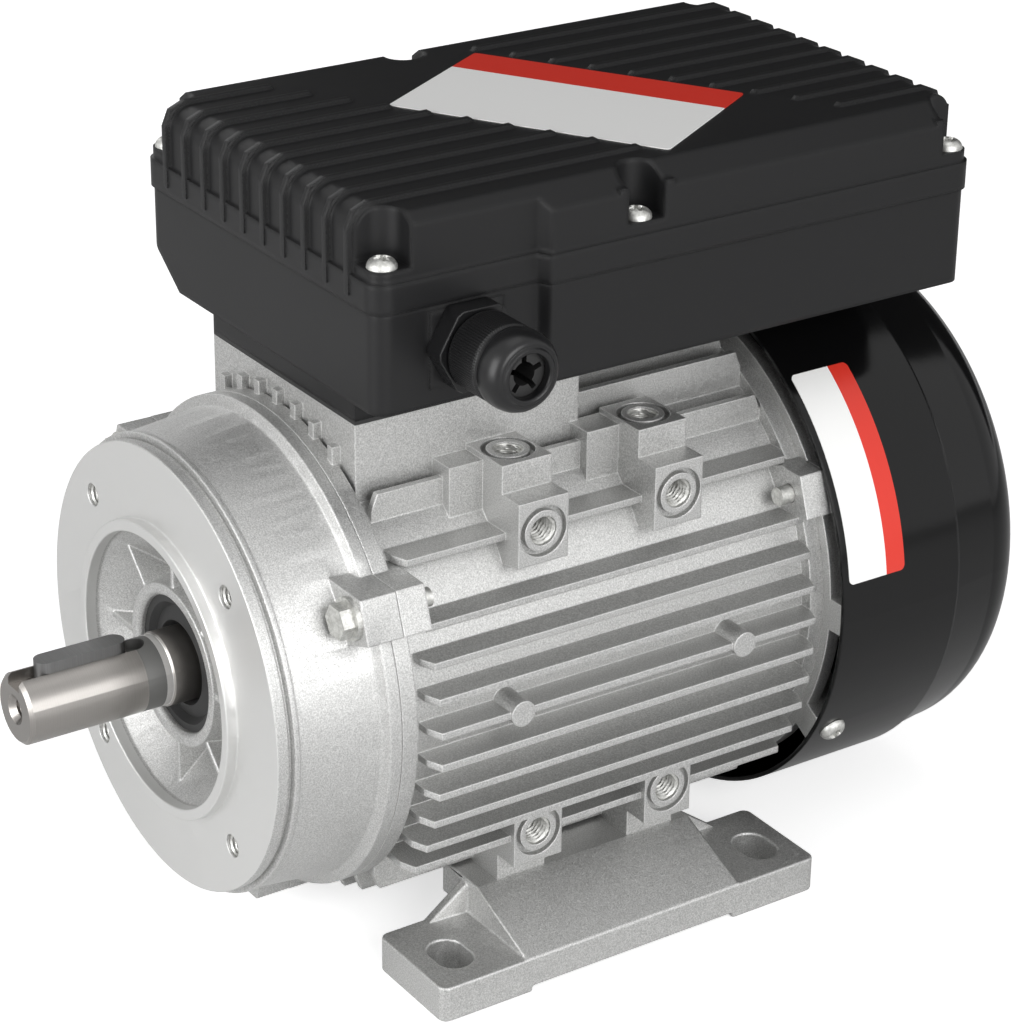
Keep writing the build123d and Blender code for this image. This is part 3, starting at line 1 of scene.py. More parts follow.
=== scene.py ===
# %% [markdown]
# A small single-phase motor: a finned aluminium casting, a black box of capacitors on top and
# a glossy fan cowl behind. The solids come packed from the CAD model; this file gives every
# surface its finish and adds the forms that only the eye needs, such as rounded casting edges,
# threads, screw recesses and blank labels.

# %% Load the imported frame
import bpy
import bmesh
import json
import numpy as np
from math import radians, sin, cos, pi
from mathutils import Vector, Matrix


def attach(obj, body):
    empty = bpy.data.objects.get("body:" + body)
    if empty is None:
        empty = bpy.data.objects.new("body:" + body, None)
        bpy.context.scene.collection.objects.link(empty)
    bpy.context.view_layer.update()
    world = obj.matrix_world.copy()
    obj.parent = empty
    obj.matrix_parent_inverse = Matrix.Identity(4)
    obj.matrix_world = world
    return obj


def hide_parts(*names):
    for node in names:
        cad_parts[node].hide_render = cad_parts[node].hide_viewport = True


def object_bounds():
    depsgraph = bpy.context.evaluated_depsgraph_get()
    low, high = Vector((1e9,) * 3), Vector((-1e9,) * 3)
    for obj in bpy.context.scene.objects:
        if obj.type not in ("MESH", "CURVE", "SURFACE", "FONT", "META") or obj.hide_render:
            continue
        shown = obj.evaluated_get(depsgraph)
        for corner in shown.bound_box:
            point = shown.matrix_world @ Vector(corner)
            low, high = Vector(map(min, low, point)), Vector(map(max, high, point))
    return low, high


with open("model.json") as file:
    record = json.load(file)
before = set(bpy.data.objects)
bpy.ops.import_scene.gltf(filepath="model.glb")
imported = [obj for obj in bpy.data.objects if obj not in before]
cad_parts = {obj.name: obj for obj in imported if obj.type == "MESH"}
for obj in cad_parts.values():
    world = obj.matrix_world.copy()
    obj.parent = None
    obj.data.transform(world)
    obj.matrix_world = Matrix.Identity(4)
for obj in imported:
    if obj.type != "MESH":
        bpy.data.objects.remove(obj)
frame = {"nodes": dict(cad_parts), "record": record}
nodes = frame["nodes"]
cad_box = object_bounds()
mm = 0.001
print("nodes in the frame:", len(nodes))

# %% [markdown]
# The camera repeats the photograph's view. Its angles, distance and lens were solved from the
# flange circle, the shaft and the feet, so that the render can be laid over the photograph.

# %% Camera
view_azimuth = radians(55.86)
view_elevation = radians(25.12)
view_roll = radians(0.76)
view_distance = 871.5 * mm
aim_point = Vector((-1.65, 109.65, 16.23)) * mm

back = Vector((sin(view_azimuth) * cos(view_elevation), -cos(view_azimuth) * cos(view_elevation),
               sin(view_elevation)))
right = Vector((cos(view_azimuth), sin(view_azimuth), 0))
up = back.cross(right)
rolled_right = cos(view_roll) * right + sin(view_roll) * up
rolled_up = cos(view_roll) * up - sin(view_roll) * right
camera = bpy.data.objects.new("camera", bpy.data.cameras.new("camera"))
camera.data.lens = 112.03
camera.data.sensor_width = 36.0
camera.data.clip_end = 20.0
turn = Matrix((rolled_right, rolled_up, back)).transposed().to_4x4()
camera.matrix_world = Matrix.Translation(aim_point + view_distance * back) @ turn
bpy.context.scene.collection.objects.link(camera)
bpy.context.scene.camera = camera
print("camera at", tuple(round(v, 3) for v in camera.matrix_world.translation))

# %% [markdown]
# The photograph is lit from the front and the right: faces that look there are pale, and faces
# that look up are darker, because they mirror a dim room behind the motor. Two soft panels do the
# first, and a dark card behind the motor does the second. A weak panel above and one on the left
# keep the sides readable that only other views show. The world is white for the camera and for
# reflections, but gives only a moderate fill.

# %% Light
light_aim = Vector((0.0, 0.1, 0.03))
fill_strength, seen_strength = 0.4, 1.0


def panel(name, place, size, power):
    """A rectangular soft light at a place in metres, turned to the aim point."""
    light = bpy.data.lights.new(name, "AREA")
    light.shape = "RECTANGLE"
    light.size, light.size_y = size
    light.energy = power
    thing = bpy.data.objects.new(name, light)
    thing.location = place
    thing.rotation_euler = (Vector(place) - light_aim).to_track_quat("Z", "Y").to_euler()
    bpy.context.scene.collection.objects.link(thing)


panel("front_panel", place=(0.15, -1.1, 0.35), size=(0.7, 0.9), power=9.8)
panel("side_panel", place=(1.15, 0.05, 0.45), size=(0.8, 0.7), power=9.0)
panel("top_panel", place=(0.1, 0.1, 1.2), size=(0.7, 0.7), power=1.2)
panel("left_panel", place=(-1.2, 0.1, 0.5), size=(0.8, 0.7), power=3.0)

world = bpy.data.worlds.new("studio")
bpy.context.scene.world = world
world.use_nodes = True
tree = world.node_tree
background = tree.nodes["Background"]
path = tree.nodes.new("ShaderNodeLightPath")
seen = tree.nodes.new("ShaderNodeMath")
seen.operation = "MAXIMUM"
tree.links.new(path.outputs["Is Camera Ray"], seen.inputs[0])
mirrored = tree.nodes.new("ShaderNodeMath")
mirrored.operation = "MAXIMUM"
tree.links.new(path.outputs["Is Glossy Ray"], mirrored.inputs[0])
tree.links.new(path.outputs["Is Transmission Ray"], mirrored.inputs[1])
tree.links.new(mirrored.outputs[0], seen.inputs[1])
strength = tree.nodes.new("ShaderNodeMapRange")
strength.inputs["To Min"].default_value = fill_strength
strength.inputs["To Max"].default_value = seen_strength
tree.links.new(seen.outputs[0], strength.inputs["Value"])
background.inputs["Color"].default_value = (1, 1, 1, 1)
tree.links.new(strength.outputs["Result"], background.inputs["Strength"])
bpy.context.scene.view_settings.view_transform = "Standard"
lamps = [thing for thing in bpy.data.objects if thing.type == "LIGHT"]
print("lights:", len(lamps), "and a white world")

# %% [markdown]
# The photograph has a pure white ground with a faint shadow. The floor is a pale sheet whose own
# glow shows only to the camera, so it comes out white where it is open and grey under the motor.
# The dim card is a stage piece too: the photograph's view doesn't show it, and it only darkens what
# the upper faces mirror.

# %% Floor and card
floor_half = 3.0
floor_gap = 0.0002
floor_z = cad_box[0][2] - floor_gap
floor_mesh = bpy.data.meshes.new("floor")
floor_corners = [(x * floor_half, y * floor_half, floor_z)
                 for x, y in ((-1, -1), (1, -1), (1, 1), (-1, 1))]
floor_mesh.from_pydata(floor_corners, [], [(0, 1, 2, 3)])
floor = bpy.data.objects.new("floor", floor_mesh)
bpy.context.scene.collection.objects.link(floor)


def stand_card(name, azimuth, distance, low, high, width, colour):
    """An upright grey card behind the motor; its place is an angle from the camera's own side."""
    way = Vector((sin(azimuth), -cos(azimuth), 0))
    across = Vector((cos(azimuth), sin(azimuth), 0)) * width / 2
    foot = way * distance
    corners = [foot - across + Vector((0, 0, low)), foot + across + Vector((0, 0, low)),
               foot + across + Vector((0, 0, high)), foot - across + Vector((0, 0, high))]
    mesh = bpy.data.meshes.new(name)
    mesh.from_pydata(corners, [], [(0, 1, 2, 3)])
    card = bpy.data.objects.new(name, mesh)
    bpy.context.scene.collection.objects.link(card)
    paint = bpy.data.materials.new(name + "_grey")
    paint.use_nodes = True
    paint.node_tree.nodes["Principled BSDF"].inputs["Base Color"].default_value = (*colour, 1)
    paint.node_tree.nodes["Principled BSDF"].inputs["Roughness"].default_value = 0.9
    mesh.materials.append(paint)


stand_card("dim_card", view_azimuth + pi, distance=1.3, low=0.12, high=3.2, width=6.0,
           colour=(0.03, 0.03, 0.03))
print("floor and card stand outside the motor, floor at", round(floor_z, 4))

# %% [markdown]
# Materials share a few effects. Each effect is a node group with named sockets: it puts out
# colours, masks and heights, and the shader itself stays in the material. Everything reads
# Object coordinates, so a pattern stays on its piece when the shaft turns.

# %% Node helpers
def add(tree, kind, **values):
    """Make one node; keyword values go to its properties or its input sockets."""
    node = tree.nodes.new(kind)
    for key, value in values.items():
        if hasattr(node, key):
            setattr(node, key, value)
        else:
            node.inputs[key.replace("_", " ")].default_value = value
    return node


def group(name, inputs, outputs):
    """An empty node group with named float or colour sockets."""
    made = bpy.data.node_groups.new(name, "ShaderNodeTree")
    for label, kind, value in inputs:
        socket = made.interface.new_socket(name=label, in_out="INPUT", socket_type=kind)
        socket.default_value = value
    for label, kind in outputs:
        made.interface.new_socket(name=label, in_out="OUTPUT", socket_type=kind)
    return made, made.nodes.new("NodeGroupInput"), made.nodes.new("NodeGroupOutput")


def place_group(tree, made, **values):
    """Put a group into a tree; keyword values go to its named sockets."""
    node = tree.nodes.new("ShaderNodeGroup")
    node.node_tree = made
    for key, value in values.items():
        node.inputs[key].default_value = value
    return node


FLOAT, COLOUR = "NodeSocketFloat", "NodeSocketColor"
print("helpers for node trees are ready")

# %% [markdown]
# Cast aluminium looks like frozen sand: tiny pale and dark specks, with slow clouds of tone from
# the way the metal cooled. A fine noise gives the specks, a coarse one the clouds, and a cell
# pattern gives each speck its own gloss. A picture texture would repeat and need a seam.

# %% Effect: sand-cast grain
def make_cast_grain():
    """Fine speckle, cloudy tone and small pits of a casting, from three noises."""
    made, entry, exit_ = group("cast_grain", [("Grain", FLOAT, 1500.0), ("Tone", FLOAT, 0.08),
                                              ("Dark", COLOUR, (0.4, 0.4, 0.4, 1)),
                                              ("Light", COLOUR, (0.7, 0.7, 0.7, 1))],
                               [("Colour", COLOUR), ("Rough", FLOAT), ("Height", FLOAT)])
    link = made.links.new
    where = add(made, "ShaderNodeTexCoord")
    fine = add(made, "ShaderNodeTexNoise", Detail=2.0, Roughness=0.7)
    link(where.outputs["Object"], fine.inputs["Vector"])
    link(entry.outputs["Grain"], fine.inputs["Scale"])
    cloud = add(made, "ShaderNodeTexNoise", Scale=24.0, Detail=3.0)
    link(where.outputs["Object"], cloud.inputs["Vector"])
    speck = add(made, "ShaderNodeTexVoronoi")
    speck_scale = add(made, "ShaderNodeMath", operation="MULTIPLY")
    speck_scale.inputs[1].default_value = 0.8
    link(entry.outputs["Grain"], speck_scale.inputs[0])
    link(speck_scale.outputs[0], speck.inputs["Scale"])
    link(where.outputs["Object"], speck.inputs["Vector"])
    sharp = add(made, "ShaderNodeMapRange", From_Min=0.35, From_Max=0.68)
    link(fine.outputs["Fac"], sharp.inputs["Value"])
    tone = add(made, "ShaderNodeMath", operation="MULTIPLY_ADD")
    link(cloud.outputs["Fac"], tone.inputs[0])
    link(entry.outputs["Tone"], tone.inputs[1])
    link(sharp.outputs["Result"], tone.inputs[2])
    mix = add(made, "ShaderNodeMix", data_type="RGBA")
    link(tone.outputs[0], mix.inputs["Factor"])
    link(entry.outputs["Dark"], mix.inputs["A"])
    link(entry.outputs["Light"], mix.inputs["B"])
    link(mix.outputs["Result"], exit_.inputs["Colour"])
    rough = add(made, "ShaderNodeMapRange", To_Min=0.38, To_Max=0.6)
    link(speck.outputs["Color"], rough.inputs["Value"])
    link(rough.outputs["Result"], exit_.inputs["Rough"])
    height = add(made, "ShaderNodeMath", operation="MULTIPLY_ADD")
    link(cloud.outputs["Fac"], height.inputs[0])
    height.inputs[1].default_value = 0.15
    link(fine.outputs["Fac"], height.inputs[2])
    link(height.outputs[0], exit_.inputs["Height"])
    return made


cast_grain = make_cast_grain()
print("effect:", cast_grain.name)

# %% [markdown]
# A lathe leaves fine rings on a face and fine lines round a shaft. Both are a noise that is read
# along one distance only: the radius from the axis, or the way along it.

# %% Effect: lines of turning and drawing
def make_tool_lines():
    """Fine lines at a steady step along a distance: the radius from the axis or the way along it."""
    made, entry, exit_ = group("tool_lines", [("Step", FLOAT, 9000.0), ("Along", FLOAT, 0.0)],
                               [("Lines", FLOAT), ("Cloud", FLOAT)])
    link = made.links.new
    where = add(made, "ShaderNodeTexCoord")
    split = add(made, "ShaderNodeSeparateXYZ")
    link(where.outputs["Object"], split.inputs[0])
    square = add(made, "ShaderNodeMath", operation="MULTIPLY")
    link(split.outputs["X"], square.inputs[0])
    link(split.outputs["X"], square.inputs[1])
    both = add(made, "ShaderNodeMath", operation="MULTIPLY_ADD")
    link(split.outputs["Z"], both.inputs[0])
    link(split.outputs["Z"], both.inputs[1])
    link(square.outputs[0], both.inputs[2])
    radius = add(made, "ShaderNodeMath", operation="SQRT")
    link(both.outputs[0], radius.inputs[0])
    choose = add(made, "ShaderNodeMix", data_type="FLOAT")
    link(entry.outputs["Along"], choose.inputs["Factor"])
    link(radius.outputs[0], choose.inputs["A"])
    link(split.outputs["Y"], choose.inputs["B"])
    line = add(made, "ShaderNodeCombineXYZ")
    link(choose.outputs["Result"], line.inputs["X"])
    noise = add(made, "ShaderNodeTexNoise", Detail=3.0, Roughness=0.65)
    link(line.outputs[0], noise.inputs["Vector"])
    link(entry.outputs["Step"], noise.inputs["Scale"])
    cloud = add(made, "ShaderNodeTexNoise", Scale=70.0, Detail=3.0)
    link(where.outputs["Object"], cloud.inputs["Vector"])
    link(noise.outputs["Fac"], exit_.inputs["Lines"])
    link(cloud.outputs["Fac"], exit_.inputs["Cloud"])
    return made


tool_lines = make_tool_lines()
print("effect:", tool_lines.name)

# %% [markdown]
# The black box, the gland and the rubber come out of moulds whose walls are finely eroded. The
# light breaks up on them, and handling leaves clouds of more and less gloss.

# %% Effect: moulded texture of plastic
def make_moulded():
    """A fine pebble height with a faint cloud in the gloss, as on moulded plastic."""
    made, entry, exit_ = group("moulded_skin", [("Grain", FLOAT, 2200.0), ("Base rough", FLOAT, 0.35),
                                                ("Spread", FLOAT, 0.1)],
                               [("Rough", FLOAT), ("Height", FLOAT)])
    link = made.links.new
    where = add(made, "ShaderNodeTexCoord")
    fine = add(made, "ShaderNodeTexNoise", Detail=2.0)
    link(where.outputs["Object"], fine.inputs["Vector"])
    link(entry.outputs["Grain"], fine.inputs["Scale"])
    cloud = add(made, "ShaderNodeTexNoise", Scale=26.0, Detail=5.0)
    link(where.outputs["Object"], cloud.inputs["Vector"])
    rough = add(made, "ShaderNodeMath", operation="MULTIPLY_ADD")
    link(cloud.outputs["Fac"], rough.inputs[0])
    link(entry.outputs["Spread"], rough.inputs[1])
    link(entry.outputs["Base rough"], rough.inputs[2])
    link(rough.outputs[0], exit_.inputs["Rough"])
    link(fine.outputs["Fac"], exit_.inputs["Height"])
    return made


moulded_skin = make_moulded()
print("effect:", moulded_skin.name)

# %% [markdown]
# Edges are rubbed first, and they catch the light: the mask paints castings brighter and black
# plastic grey there, partly as wear and partly as a painted highlight. The shading of a bevelled
# edge leaves the face's own direction, and the angle between both is a ready mask.

# %% Effect: worn edges and painted edge highlight
def make_edge_wear_and_sheen():
    """A mask that is 1 on sharp edges: the bevelled normal leaves the face's own normal there."""
    made, entry, exit_ = group("edge_wear_and_sheen", [("Width", FLOAT, 0.0006), ("Gain", FLOAT, 3.0)],
                               [("Mask", FLOAT)])
    link = made.links.new
    bevel = add(made, "ShaderNodeBevel", samples=4)
    link(entry.outputs["Width"], bevel.inputs["Radius"])
    face = add(made, "ShaderNodeNewGeometry")
    dot = add(made, "ShaderNodeVectorMath", operation="DOT_PRODUCT")
    link(bevel.outputs[0], dot.inputs[0])
    link(face.outputs["Normal"], dot.inputs[1])
    away = add(made, "ShaderNodeMath", operation="SUBTRACT")
    away.inputs[0].default_value = 1.0
    link(dot.outputs["Value"], away.inputs[1])
    gain = add(made, "ShaderNodeMath", operation="MULTIPLY", use_clamp=True)
    link(away.outputs[0], gain.inputs[0])
    link(entry.outputs["Gain"], gain.inputs[1])
    link(gain.outputs[0], exit_.inputs["Mask"])
    return made


edge_wear_and_sheen = make_edge_wear_and_sheen()
print("effect:", edge_wear_and_sheen.name)

# %% [markdown]
# A material is one Principled shader with one or two of these effects on it. Constants stay on the
# shader itself, so that only what changes over the surface needs a node. Relief is a bump, and the
# same node can soften sharp edges in the shading, which suits dense meshes that no bevel takes well.

# %% Shader and relief
def shader(name, **values):
    """A material with one Principled shader, whose constant inputs are set on the shader."""
    made = bpy.data.materials.new(name)
    made.use_nodes = True
    tree = made.node_tree
    body = tree.nodes["Principled BSDF"]
    for key, value in values.items():
        body.inputs[key.replace("_", " ")].default_value = value
    return made, tree, body


def bump(tree, body, height, depth, round_edge=0.0):
    """Small relief; round_edge also softens the shading of sharp edges by that radius."""
    node = add(tree, "ShaderNodeBump", Strength=1.0, Distance=depth)
    tree.links.new(height, node.inputs["Height"])
    if round_edge:
        soft = add(tree, "ShaderNodeBevel", samples=4)
        soft.inputs["Radius"].default_value = round_edge
        tree.links.new(soft.outputs[0], node.inputs["Normal"])
    tree.links.new(node.outputs[0], body.inputs["Normal"])


print("shader and relief are ready")

# %% [markdown]
# Cast skin takes its colour, gloss and height from the grain. Its edges are painted brighter by
# the edge mask: partly as rubbed wear from handling and tumbling, partly as a painted highlight
# of the rounded edge.

# %% Cast metal
# the pale colour of rounded cast edges: partly rubbed wear, partly a painted highlight of the edge
rubbed_and_highlight_bright = (0.86, 0.86, 0.85, 1)


def cast_metal(name, dark, light, grain=2800.0, depth=0.03 * mm, metallic=0.8, round_edge=0.0):
    """Cast skin; where its edges are rounded they are also painted a little brighter, as wear and as a
    painted highlight.
    """
    made, tree, body = shader(name, Metallic=metallic)
    effect = place_group(tree, cast_grain, Grain=grain, Dark=(*dark, 1), Light=(*light, 1))
    if round_edge:
        # the edge mask paints a highlight along rounded edges, together with rubbed wear
        edge = place_group(tree, edge_wear_and_sheen, Width=round_edge * 0.7, Gain=2.5)
        mix = add(tree, "ShaderNodeMix", data_type="RGBA")
        tree.links.new(edge.outputs["Mask"], mix.inputs["Factor"])
        tree.links.new(effect.outputs["Colour"], mix.inputs["A"])
        mix.inputs["B"].default_value = rubbed_and_highlight_bright
        tree.links.new(mix.outputs["Result"], body.inputs["Base Color"])
    else:
        tree.links.new(effect.outputs["Colour"], body.inputs["Base Color"])
    tree.links.new(effect.outputs["Rough"], body.inputs["Roughness"])
    bump(tree, body, effect.outputs["Height"], depth, round_edge=round_edge)
    return made


print("cast metal is ready")

# %% [markdown]
# Machined metal follows the lines of its tool. A band gives one strip along the axis another tone,
# for a face that is turned on a raw casting, a strip of the shaft that is left unground, or a
# painted highlight ring on the shaft.

# %% Turned metal and bands
def band(made, low, high, colour, rough):
    """Give the band between two distances along Y, in millimetres, its own tone and gloss."""
    tree = made.node_tree
    body = tree.nodes["Principled BSDF"]
    where = add(tree, "ShaderNodeTexCoord")
    split = add(tree, "ShaderNodeSeparateXYZ")
    tree.links.new(where.outputs["Object"], split.inputs[0])
    inside = add(tree, "ShaderNodeMath", operation="COMPARE")
    inside.inputs[1].default_value = (low + high) / 2 * mm
    inside.inputs[2].default_value = (high - low) / 2 * mm
    tree.links.new(split.outputs["Y"], inside.inputs[0])
    for name_in, value in (("Base Color", (*colour, 1)), ("Roughness", rough)):
        link = body.inputs[name_in].links[0]
        source = link.from_socket
        tree.links.remove(link)
        kind = "RGBA" if name_in == "Base Color" else "FLOAT"
        mix = add(tree, "ShaderNodeMix", data_type=kind)
        tree.links.new(inside.outputs[0], mix.inputs["Factor"])
        tree.links.new(source, mix.inputs["A"])
        mix.inputs["B"].default_value = value
        tree.links.new(mix.outputs["Result"], body.inputs[name_in])


def turned_metal(name, dark, light, step, along, rough, depth=0.006 * mm):
    """Machined metal: its tone, gloss and height follow the lines of the tool."""
    made, tree, body = shader(name, Metallic=1.0)
    effect = place_group(tree, tool_lines, Step=step, Along=along)
    mix = add(tree, "ShaderNodeMix", data_type="RGBA")
    mix.inputs["A"].default_value = (*dark, 1)
    mix.inputs["B"].default_value = (*light, 1)
    tree.links.new(effect.outputs["Lines"], mix.inputs["Factor"])
    tree.links.new(mix.outputs["Result"], body.inputs["Base Color"])
    spread = add(tree, "ShaderNodeMapRange", To_Min=rough[0], To_Max=rough[1])
    tree.links.new(effect.outputs["Cloud"], spread.inputs["Value"])
    tree.links.new(spread.outputs["Result"], body.inputs["Roughness"])
    bump(tree, body, effect.outputs["Lines"], depth)
    return made


print("turned metal and bands are ready")

# %% [markdown]
# Plastic, rubber and thick paint share one maker: a plain colour, the moulded skin's gloss and
# relief, and edges that turn a little grey, partly as wear and partly as a painted sheen.

# %% Plastic, rubber and paint
def plastic(name, colour, rough, grain, depth, round_edge=0.0, **values):
    """Moulded surface; along sharp edges a colour c turns to 1.8 c + 0.004."""
    made, tree, body = shader(name, **values)
    effect = place_group(tree, moulded_skin, **{"Grain": grain, "Base rough": rough, "Spread": 0.1})
    tree.links.new(effect.outputs["Rough"], body.inputs["Roughness"])
    bump(tree, body, effect.outputs["Height"], depth, round_edge=round_edge)
    # along sharp edges the colour is painted lighter: partly worn edges, partly a painted sheen
    edge = place_group(tree, edge_wear_and_sheen, Width=0.5 * mm, Gain=1.5)
    mix = add(tree, "ShaderNodeMix", data_type="RGBA")
    mix.inputs["A"].default_value = (*colour, 1)
    mix.inputs["B"].default_value = (*(min(1.0, c * 1.8 + 0.004) for c in colour), 1)
    tree.links.new(edge.outputs["Mask"], mix.inputs["Factor"])
    tree.links.new(mix.outputs["Result"], body.inputs["Base Color"])
    return made


print("plastic, rubber and paint are ready")

# %% [markdown]
# The metals of the motor. The castings are a mix of metal and dull oxide, and the flange's ring is
# turned bright. The shaft is ground steel with an unground strip before its shoulder and a painted
# highlight ring where the shoulder's edge catches the light, and the key is left dark from rolling.
# Tones are written as a dark and a light value that the effect blends.

# %% Metals
along_axis, round_axis = 1.0, 0.0
raw_aluminium = cast_metal("raw_cast_aluminium", (0.36, 0.36, 0.355), (0.66, 0.66, 0.65),
                           metallic=0.86, round_edge=0.6 * mm)
shield_aluminium = cast_metal("endshield_aluminium", (0.38, 0.38, 0.375), (0.66, 0.66, 0.65),
                              metallic=0.8, round_edge=0.5 * mm)
band(shield_aluminium, low=-10.0, high=0.1, colour=(0.68, 0.68, 0.67), rough=0.42)
ground_steel = turned_metal("ground_shaft_steel", (0.22, 0.21, 0.20), (0.42, 0.40, 0.38),
                            step=6500.0, along=along_axis, rough=(0.24, 0.4))
band(ground_steel, low=-8.5, high=-3.3, colour=(0.20, 0.20, 0.195), rough=0.55)
# painted highlight: a bright ring from -3.3 to -1.4 mm stands in for the light on the shoulder's edge,
# which the solid has at -1.5 mm
band(ground_steel, low=-3.3, high=-1.4, colour=(0.62, 0.61, 0.60), rough=0.3)
key_steel = turned_metal("dark_key_steel", (0.13, 0.13, 0.13), (0.26, 0.26, 0.26),
                         step=2600.0, along=along_axis, rough=(0.32, 0.48))
bright_steel = turned_metal("bright_bearing_steel", (0.45, 0.45, 0.45), (0.65, 0.65, 0.66),
                            step=9000.0, along=round_axis, rough=(0.14, 0.25))
zinc_steel = cast_metal("zinc_plated_steel", (0.45, 0.45, 0.43), (0.68, 0.68, 0.66),
                        grain=900.0, depth=0.01 * mm, metallic=1.0)
sheet_core = turned_metal("stacked_core_sheets", (0.12, 0.12, 0.13), (0.3, 0.3, 0.31),
                          step=2000.0, along=along_axis, rough=(0.35, 0.5), depth=0.05 * mm)
cast_rotor = cast_metal("cast_rotor_aluminium", (0.45, 0.45, 0.45), (0.7, 0.7, 0.7), grain=1100.0)
varnished_copper = turned_metal("varnished_copper_wire", (0.28, 0.09, 0.03), (0.62, 0.26, 0.1),
                                step=1400.0, along=round_axis, rough=(0.25, 0.4), depth=0.2 * mm)
brass = turned_metal("bright_brass", (0.6, 0.42, 0.16), (0.8, 0.62, 0.3),
                     step=5000.0, along=round_axis, rough=(0.2, 0.35))
print("metals:", [made.name for made in bpy.data.materials if made.name.endswith(("steel", "aluminium"))])

# %% [markdown]
# The dark surfaces differ mostly in gloss: the box is satin, the gland shines more, the rubber is
# dull, and the cowl is painted to a high gloss over a slightly wavy sheet. The cages and both
# capacitor cases are inside.

# %% Plastics, rubber and paint of the motor
black_box = plastic("black_box_plastic", (0.010, 0.010, 0.0105), rough=0.34, grain=1700.0,
                    depth=0.01 * mm, round_edge=2.0 * mm, Specular_IOR_Level=0.26)
gland_nylon = plastic("black_gland_nylon", (0.008, 0.008, 0.0085), rough=0.24, grain=2600.0,
                      depth=0.008 * mm, round_edge=0.4 * mm, Specular_IOR_Level=0.35)
black_rubber = plastic("black_rubber", (0.014, 0.014, 0.014), rough=0.5, grain=1900.0, depth=0.03 * mm)
fan_nylon = plastic("fan_nylon", (0.02, 0.02, 0.021), rough=0.36, grain=1500.0, depth=0.02 * mm)
cream_nylon = plastic("cream_cage_nylon", (0.55, 0.47, 0.30), rough=0.38, grain=1500.0, depth=0.01 * mm)
white_can = plastic("white_capacitor_case", (0.72, 0.72, 0.69), rough=0.28, grain=900.0,
                    depth=0.008 * mm)
black_can = plastic("black_capacitor_case", (0.02, 0.02, 0.022), rough=0.22, grain=900.0,
                    depth=0.008 * mm)
cowl_paint = plastic("glossy_cowl_paint", (0.003, 0.003, 0.0032), rough=0.10, grain=420.0,
                     depth=0.006 * mm, round_edge=0.8 * mm, Specular_IOR_Level=0.3)
print("materials so far:", len(bpy.data.materials))

# %% [markdown]
# The floor is a pale sheet. Only the camera sees the glow that lifts it to white, so the glow lights
# nothing, and the motor's shadow stays.

# %% Floor paint
floor_glow_strength = 0.62
floor_grey = (0.86, 0.86, 0.86, 1)
floor_paint, floor_tree, floor_body = shader("pale_floor", Roughness=0.75, Base_Color=floor_grey)
floor_path = add(floor_tree, "ShaderNodeLightPath")
floor_glow = add(floor_tree, "ShaderNodeEmission", Strength=0.0)
floor_gain = add(floor_tree, "ShaderNodeMath", operation="MULTIPLY")
floor_gain.inputs[1].default_value = floor_glow_strength
floor_tree.links.new(floor_path.outputs["Is Camera Ray"], floor_gain.inputs[0])
floor_tree.links.new(floor_gain.outputs[0], floor_glow.inputs["Strength"])
floor_sum = add(floor_tree, "ShaderNodeAddShader")
floor_out = floor_tree.nodes["Material Output"]
floor_tree.links.new(floor_body.outputs[0], floor_sum.inputs[0])
floor_tree.links.new(floor_glow.outputs[0], floor_sum.inputs[1])
floor_tree.links.new(floor_sum.outputs[0], floor_out.inputs["Surface"])
floor_mesh.materials.append(floor_paint)
print("floor paint:", floor_paint.name)

# %% [markdown]
# The record gives every node a material slot, such as cast aluminium. Each slot gets one finish here.
# The endshield and the key have their own, because one is partly turned and the other is darker.

# %% Give the finishes to the nodes
slot_finish = {
    "cast_aluminium": raw_aluminium, "shaft_steel": ground_steel, "bearing_steel": bright_steel,
    "zinc_screws": zinc_steel, "brass_terminals": brass, "black_rubber": black_rubber,
    "cage_plastic": cream_nylon, "core_steel": sheet_core, "copper_winding": varnished_copper,
    "rotor_aluminium": cast_rotor, "black_plastic": black_box, "gland_plastic": gland_nylon,
    "fan_plastic": fan_nylon, "cowl_black": cowl_paint, "capacitor_white": white_can,
    "capacitor_black": black_can,
}
for entry in frame["record"]["subparts"]:
    thing = nodes[entry["node"]]
    thing.data.materials.clear()
    thing.data.materials.append(slot_finish[entry["material_slot"]])
nodes["front_endshield"].data.materials[0] = shield_aluminium
nodes["shaft_key"].data.materials[0] = key_steel
print("finishes given to", len(nodes), "nodes")

# %% [markdown]
# The solids have sharp edges, and real castings and mouldings have rounded ones. A copy of each
# node that stands in front gets its flat faces merged and a real bevel along every sharp edge, and
# stands in for the node. The finned frame and the box are rounded by their material alone.

# %% Rounded copies of the nodes in front
bodies = frame["record"]["behaviour"]["bodies"]
body_of = {node: body for body, members in bodies.items() for node in members}
edge_widths = {"foot_right": 0.6, "foot_left": 0.6, "front_endshield": 0.35, "gland_body": 0.3}
same_point = 1e-6
flat_within = radians(0.6)
sharp_from = radians(38.0)


